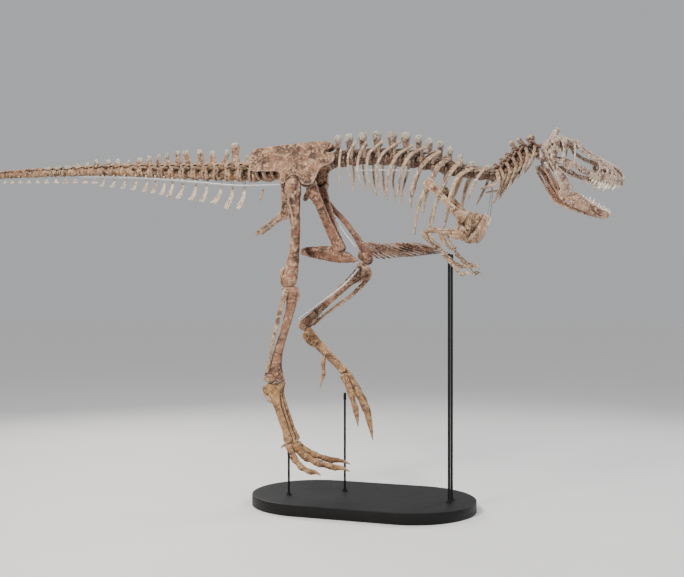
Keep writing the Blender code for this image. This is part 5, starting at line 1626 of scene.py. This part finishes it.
# Two thin rods stiffen the raised leg: one beside the thigh and one beside the shin.
THIGH_ROD = ((-395, 126, 2490, 8.5, 8.5), (-252, 122, 2296, 7.5, 7.5), (-92, 118, 2094, 6.5, 6.5))
SHIN_ROD = mm(((-72, 130, 1922), (-169, 130, 1818), (-396, 126, 1646), (-600, 122, 1500)))
shin_sizes = np.linspace(0.0085, 0.0065, len(SHIN_ROD))[:, None] * (1, 1)
for name, rod in (("thigh", bar(THIGH_ROD, sides=16)), ("shin", tube(SHIN_ROD, shin_sizes, sides=16))):
    kept_as(joined(f"{name}_rod_left_steel", [rod], bright_steel), "stand_steel", f"stand_{name}_rod_left")

# --- skull -----------------------------------------------------------------------------------------
# The skull is a cage of thin bones round five pairs of windows. It is turned to its left and held
# nose down; everything here is laid out in its own axes and then moved onto the neck.
SKULL_YAW = math.radians(26)
SKULL_PITCH = math.radians(20)
SKULL_AT = np.array([1.469, 0.070, 2.785])  # occipital condyle


def turn_y(angle):
    return np.array([
        [math.cos(angle), 0, math.sin(angle)], [0, 1, 0], [-math.sin(angle), 0, math.cos(angle)],
    ])


def turn_z(angle):
    return np.array([
        [math.cos(angle), -math.sin(angle), 0], [math.sin(angle), math.cos(angle), 0], [0, 0, 1],
    ])


HEAD_TURN = turn_z(SKULL_YAW) @ turn_y(SKULL_PITCH)


def on_neck(parts):
    """Parts laid out in the skull's own axes, turned and moved to the end of the neck."""
    return [(points @ HEAD_TURN.T + SKULL_AT, quads, fans) for points, quads, fans in parts]


# x, half width of the cheek, half width of the roof, height of the roof, in millimetres
breadth = mm((
    (-40, 94, 60, 120), (30, 114, 74, 126), (115, 116, 68, 130), (165, 108, 64, 140), (250, 96, 44, 116),
    (350, 83, 36, 98), (470, 66, 32, 84), (575, 47, 25, 68), (632, 22, 12, 20), (645, 14, 10, 0),
))


def cheek(x, z):
    """Half width of the skull's side: full up to a third of its height, then leaning in to the roof."""
    full, roof, top = (np.interp(x, breadth[:, 0], breadth[:, k]) for k in (1, 2, 3))
    rise = np.clip((z + 0.030) / (top + 0.030), 0, 1)
    return full + (roof - full) * rise**1.6


def strut(side, marks, thick=8.0, inset=0.0):
    """A flat bar of the cheek, in millimetres. Each mark is (x, z, half breadth within the skull's side)."""
    marks = mm(marks)
    y = side * (cheek(marks[:, 0], marks[:, 1]) - inset / 1000)
    points = np.stack([marks[:, 0], y, marks[:, 1]], -1)
    sizes = np.stack([np.full(len(marks), thick / 1000), marks[:, 2]], -1)
    return tube(points, sizes, sides=18, pace=0.006, power=2.6, cap=0.5)


def eyelet(side, x, z, radius, half_breadth):
    """A bar bent round into a ring about a small window, in millimetres."""
    turn = np.linspace(0, 2.04 * np.pi, 18)
    return strut(
        side,
        np.stack([x + radius * np.cos(turn), z + radius * np.sin(turn), np.full(18, half_breadth)], -1),
    )


parts = []
for side in (-1, 1):
    parts += [
        # premaxilla and maxilla: snout block, bar under the nostril, tooth-bearing bar, rising branch
        strut(side, ((585, -32, 24), (608, -26, 22), (627, -22, 14)), 12),
        strut(side, ((478, 50, 14), (520, 34, 13), (565, 14, 13), (606, -2, 14)), 9),
        strut(side, ((608, -14, 12), (618, 12, 8), (604, 40, 7), (570, 62, 10)), 9),
        strut(
            side,
            (
                (268, -68, 12), (310, -68, 18), (370, -64, 21), (430, -58, 26), (480, -42, 34),
                (520, -32, 36), (560, -26, 32), (600, -24, 26),
            ),
            12,
        ),
        strut(side, ((424, -62, 16), (470, -52, 26), (512, -24, 26), (532, 0, 18)), 9),
        eyelet(side, 440, 6, 26.5, 9.5),
        strut(side, ((390, -38, 11), (401, -12, 11), (403, 18, 13), (390, 48, 15)), 8),
        strut(side, ((486, -50, 22), (488, -20, 22), (490, 10, 22), (484, 40, 20)), 6, 8),
        strut(
            side,
            (
                (504, 36, 18), (470, 54, 22), (420, 62, 22), (360, 64, 18), (300, 66, 15), (240, 78, 14),
                (196, 92, 14),
            ),
            9,
        ),
        strut(side, ((490, -40, 10), (506, -10, 10), (505, 24, 9)), 7, -5),
        # lacrimal, postorbital, roof over the eye
        strut(side, ((140, 128, 16), (152, 88, 9), (164, 40, 7.5), (174, -4, 9), (186, -40, 17)), 10),
        strut(side, ((205, 96, 18), (172, 124, 20), (140, 132, 16)), 11),
        strut(side, ((146, 124, 14), (110, 116, 15), (70, 112, 17), (30, 112, 18)), 13),
        strut(side, ((52, 112, 26), (66, 74, 22), (76, 30, 13), (86, -18, 14), (100, -52, 22)), 10, -4),
        strut(side, ((78, 100, 14), (92, 66, 10), (94, 46, 6)), 8),
        # jugal with its lower point, and the bar back to the jaw joint
        strut(
            side,
            (
                (300, -66, 12), (262, -56, 17), (222, -52, 20), (180, -58, 26), (142, -70, 34),
                (104, -66, 26), (66, -66, 14), (30, -70, 14),
            ),
            10,
        ),
        strut(side, ((230, -80, 8), (256, -84, 9), (290, -78, 8)), 7, 4),
        # squamosal and quadratojugal: a thick knotted column behind the last window
        strut(side, ((40, 112, 20), (10, 98, 28), (-8, 74, 30), (-14, 50, 22)), 13),
        strut(
            side, ((4, 76, 22), (10, 40, 26), (14, 6, 30), (10, -30, 26), (16, -62, 22), (36, -74, 16)), 12
        ),
        strut(side, ((20, 30, 14), (40, 18, 12), (52, 2, 6)), 8, 3),
        # quadrate, inside the column, down to the jaw joint
        bar(
            ((-6, 70, 40, 12, 20), (6, 84, -20, 11, 18), (20, 92, -70, 22, 18), (24, 94, -90, 28, 14)),
            side, sides=16, pace=0.006,
        ),
        # wings of the braincase, hidden palate bars and the wall between the windows
        bar(
            ((-22, 20, 40, 10, 26), (-26, 54, 46, 9, 22), (-32, 82, 40, 10, 18)), side, across=X, sides=14,
            pace=0.006,
        ),
        bar(
            (
                (30, 80, -50, 6, 14), (110, 52, -30, 6, 18), (220, 30, -20, 6, 14), (360, 18, -22, 5, 10),
                (520, 12, -24, 6, 8),
            ),
            side, sides=12, pace=0.008,
        ),
        bar(
            ((180, 50, -50, 6, 12), (215, 70, -56, 6, 10), (250, 84, -60, 6, 10)), side, sides=12,
            pace=0.006,
        ),
    ]
parts += [
    # roof: joined nasals, rough along the top, widening to the frontals and the table behind
    bar(
        (
            (624, 0, 4, 10, 11), (612, 0, 36, 12, 10), (584, 0, 60, 20, 10), (540, 0, 74, 26, 10),
            (470, 0, 83, 30, 12), (400, 0, 91, 34, 12), (320, 0, 102, 36, 13), (250, 0, 114, 40, 14),
            (200, 0, 126, 48, 14),
        ),
        sides=22, pace=0.006, power=2.4,
    ),
    bar(
        (
            (215, 0, 120, 40, 12), (160, 0, 124, 56, 13), (110, 0, 116, 60, 14), (60, 0, 108, 50, 16),
            (10, 0, 112, 34, 20),
        ),
        sides=22, pace=0.006, power=2.4,
    ),
    # crest across the back of the head, the ridge that runs up to it, and the ball for the neck
    bar(((60, 0, 116, 10, 14), (20, 0, 136, 10, 18), (-8, 0, 164, 14, 16)), sides=16, pace=0.006),
    bar(
        (
            (-14, 0, 60, 72, 18), (-14, 0, 104, 64, 14), (-10, 0, 138, 46, 15), (-4, 0, 166, 36, 22),
            (0, 0, 184, 30, 20),
        ),
        sides=26, pace=0.006, power=2.6,
    ),
    bar(
        ((-12, 0, 100, 66, 12), (-10, 0, 40, 74, 11), (-6, 0, -10, 56, 10)), sides=26, pace=0.006,
        power=2.6,
    ),
    bar(((-30, 0, 46, 46, 44), (40, 0, 62, 40, 36), (120, 0, 76, 28, 24)), sides=22, pace=0.008),
    bar(((-42, 0, -4, 15, 15), (-24, 0, 4, 20, 18), (10, 0, 12, 28, 26)), sides=18, pace=0.005, cap=0.8),
    bar(((-20, 0, -10, 24, 16), (10, 0, -46, 26, 12), (30, 0, -60, 14, 8)), sides=16, pace=0.006),
]
skull = grown("skull_bones", on_neck(parts), skull_bone, cell=0.0034, rounds=2, rough=0.0015, turn=2.6)
kept_as(skull, "bone_pale", "skull")


def tooth(root, tip, half_width, back):
    """A blade-like tooth: an oval cone that bows forward and curves back to its point."""
    root, tip = np.asarray(root, float), np.asarray(tip, float)
    bow = X * back
    points = (root, root * 0.62 + tip * 0.38 + bow, root * 0.28 + tip * 0.72 + bow * 0.8, tip)
    sizes = np.array(((0.62, 0.98), (0.60, 1.0), (0.40, 0.68), (0.08, 0.12))) * half_width
    return tube(points, sizes, sides=12, pace=0.004, cap=0.25)


def enamel_finish():
    """Old enamel: ivory at the point, brown at the root, with fine bands and a soft shine."""
    made = Finish("enamel", Specular_IOR_Level=0.6)
    place = made.place()
    stain = made.noise(place, 34.0, 4.0)
    bands = made.noise(made.place(stretch=(40, 40, 320)), 1.0, 2.0)
    colour = made.blend(made.step(stain, 0.40, 0.66), (0.80, 0.72, 0.58), (0.52, 0.38, 0.24))
    colour = made.blend(bands * 0.35, colour, (0.86, 0.80, 0.69))
    return made.finish(colour, 0.26 + stain * 0.20, bands, 0.0006)


enamel = enamel_finish()


def upper_edge(x):
    """Height of the upper jaw's lower edge along the tooth row."""
    return -0.082 + 0.26 * max(0.0, x - 0.44) + 0.06 * max(0.0, 0.36 - x)


# place along the jaw and length out of the socket, in millimetres: some are broken short or lost, as in life
UPPER_TEETH = mm((
    (350, 20), (376, 36), (402, 46), (430, 36), (452, 68), (476, 52), (502, 74), (526, 56), (548, 18),
    (566, 58), (584, 24), (598, 32), (609, 26),
))
parts = []
for number, (x, long) in enumerate(UPPER_TEETH):
    for side in (-1, 1):
        if side > 0 and number % 3 == 0:
            continue
        half = float(cheek(x, -0.05)) * 0.93 - 0.002
        root = (x, side * half, upper_edge(x) + 0.010)
        tip = (x - 0.004 - 0.14 * long, side * (half - 0.003), upper_edge(x) - long)
        parts.append(tooth(root, tip, 0.0054 + 0.085 * long, 0.004))
kept_as(joined("upper_teeth", on_neck(parts), enamel), "bone_pale")

# --- lower jaw -------------------------------------------------------------------------------------
# Two deep curved halves meet at the chin. The front half of each is the tooth-bearing dentary; the
# taller plates behind lap over it, with a seam between them and a small hole below the hinge.
JAW_OPEN = math.radians(20)
JAW_HINGE = np.array([0.020, 0.0, -0.108])



def on_hinge(parts):
    """Parts laid out in the lower jaw's own axes, swung open about its hinge and put on the neck."""
    return on_neck([
        (points @ turn_y(JAW_OPEN).T + JAW_HINGE, quads, fans)
        for points, quads, fans in parts
    ])


jaw_bone = bone_finish(
    "jaw_bone", (0.68, 0.50, 0.36), (0.44, 0.26, 0.16), (0.13, 0.054, 0.032), (3, 12, 12), mottle=10.0,
    crack=9.0, shift=12.1,
)
# A darker copy of the jaw bone for the inner face: painted shade, as the inside of the jaw lies in shade.
shaded_jaw_bone = bone_finish(
    "shaded_jaw_inner_bone", (0.427, 0.23, 0.129), (0.246, 0.108, 0.058), (0.07, 0.028, 0.016), (4, 12, 12),
    mottle=12.0, crack=12.0, shift=5.3,
)
# x, lower edge, upper edge, half distance between the halves, in millimetres
JAW = mm((
    (-30, -40, -6, 106), (-14, -50, 10, 110), (10, -56, 20, 112), (40, -66, 22, 112), (90, -92, 12, 109),
    (144, -120, 5, 104), (182, -138, -4, 100), (222, -148, -13, 94), (260, -147, -19, 87),
    (298, -139, -20, 80), (345, -122, -17, 71), (387, -106, -12, 62), (430, -88, -3, 53),
    (478, -71, 10, 43), (524, -52, 26, 33), (560, -34, 42, 24), (590, -12, 52, 16), (612, 12, 56, 12),
    (624, 28, 50, 10),
))


def jaw_plate(side, first, last, out, thick, low=0.0, high=0.0):
    """One plate of the jaw between two places along it, moved out by `out` and trimmed in height."""
    at = np.linspace(first, last, 40)
    bottom, top = (np.interp(at, JAW[:, 0], JAW[:, k]) for k in (1, 2))
    ends = np.minimum(1, np.minimum((at - first) / 0.030 + 0.25, (last - at) / 0.030 + 0.25))
    middle_z = (bottom + low + top - high) / 2
    half = (top - high - bottom - low) / 2 * np.sqrt(ends)
    rows = np.stack([at, middle_z - half, middle_z + half], -1)
    return blade(
        rows, lambda x,
        z: side * (np.interp(x, JAW[:, 0], JAW[:, 3]) + out + 0.010 * np.cos((z + 0.05) * 26)), lambda x,
        z: thick * (1 + 0.5 * np.exp(-(((z + 0.004) / 0.022) ** 2))), sides=44,
    )


SEAM = 0.256  # where the dentary meets the bones behind it
parts, rear, inner = [], [], []
for side in (-1, 1):
    # dentary, with its tooth shelf and the thickened chin, and the strip that runs back under the seam
    parts += [
        jaw_plate(side, SEAM + 0.004, 0.622, -0.005, 0.0098),
        jaw_plate(side, 0.282, 0.560, 0.000, 0.0076, 0.006, 0.030),
        jaw_plate(side, 0.176, 0.290, -0.003, 0.0080, 0.000, 0.082),
        jaw_plate(side, 0.2955, 0.340, -0.004, 0.0092, 0.000, 0.020),
    ]
    parts.append(bar(((570, 18, 0, 12, 30), (600, 9, 22, 10, 26), (616, 5, 36, 6, 12)), side, sides=14))
    # surangular with its upper ridge, and the knob of the hinge
    rear += [
        jaw_plate(side, -0.026, SEAM, 0.000, 0.0082, 0.034, 0.0),
        jaw_plate(side, 0.060, SEAM - 0.030, 0.005, 0.0078, 0.034, 0.040),
    ]
    rear.append(ball((-0.004, side * 0.100, -0.002), (0.030, 0.022, 0.018)))
    rear.append(bar(
        ((-44, 98, -22, 10, 10), (-26, 102, -26, 12, 14), (0, 104, -32, 10, 20)), side, sides=14
    ))
    rear.append(bar(((6, 110, 10, 10, 11), (80, 114, 4, 12, 11), (170, 104, -8, 9, 10)), side, sides=14))
    # two bars along the inner face, and the thin plate over them; they take the darker jaw bone, painted
    # shade for the inside of the jaw
    for low, out in ((0.0, 0.032), (-0.026, 0.024)):
        inner.append(tube(
            (
                (-0.012, side * (0.104 - out), -0.030 + low), (0.050, side * (0.104 - out), -0.050 + low),
                (0.120, side * (0.098 - out), -0.078 + low),
                (0.200, side * (0.090 - out * 0.8), -0.104 + low * 0.7),
                (0.300, side * (0.074 - out * 0.6), -0.100),
            ),
            ((0.008, 0.011), (0.006, 0.010), (0.006, 0.010), (0.006, 0.012), (0.005, 0.014)), sides=14,
            pace=0.008,
        ))
    inner.append(jaw_plate(side, 0.110, 0.470, -0.0165, 0.0042, 0.018, 0.026))
front_piece = grown(
    "dentary_bones", on_hinge(parts), jaw_bone, cell=0.0036, rounds=2, rough=0.0014, turn=0.9
)
inner_piece = grown(
    "jaw_inner_bones", on_hinge(inner), shaded_jaw_bone, cell=0.0040, rounds=2, rough=0.0012, turn=2.2
)
rear_piece = grown(
    "jaw_rear_bones", on_hinge(rear), skull_bone, cell=0.0036, rounds=2, rough=0.0016, turn=1.9
)
kept_as(inner_piece, "bone_pale", "lower_jaw")
kept_as(front_piece, "bone_pale", "lower_jaw")
kept_as(rear_piece, "bone_pale", "lower_jaw")

LOWER_TEETH = mm((
    (330, 12), (356, 18), (384, 22), (410, 42), (430, 20), (446, 46), (470, 24), (496, 36), (518, 20),
    (538, 30), (560, 20), (578, 22), (594, 16), (606, 14),
))
parts = []
for x, long in LOWER_TEETH:
    top, half = (float(np.interp(x, JAW[:, 0], JAW[:, c])) for c in (2, 3))
    for side in (-1, 1):
        root = (x, side * (half - 0.004), top - 0.010)
        parts.append(tooth(
            root, (x - 0.004 - 0.16 * long, side * (half - 0.002), top + long), 0.0048 + 0.075 * long,
            0.004,
        ))
kept_as(joined("lower_teeth", on_hinge(parts), enamel), "bone_pale")
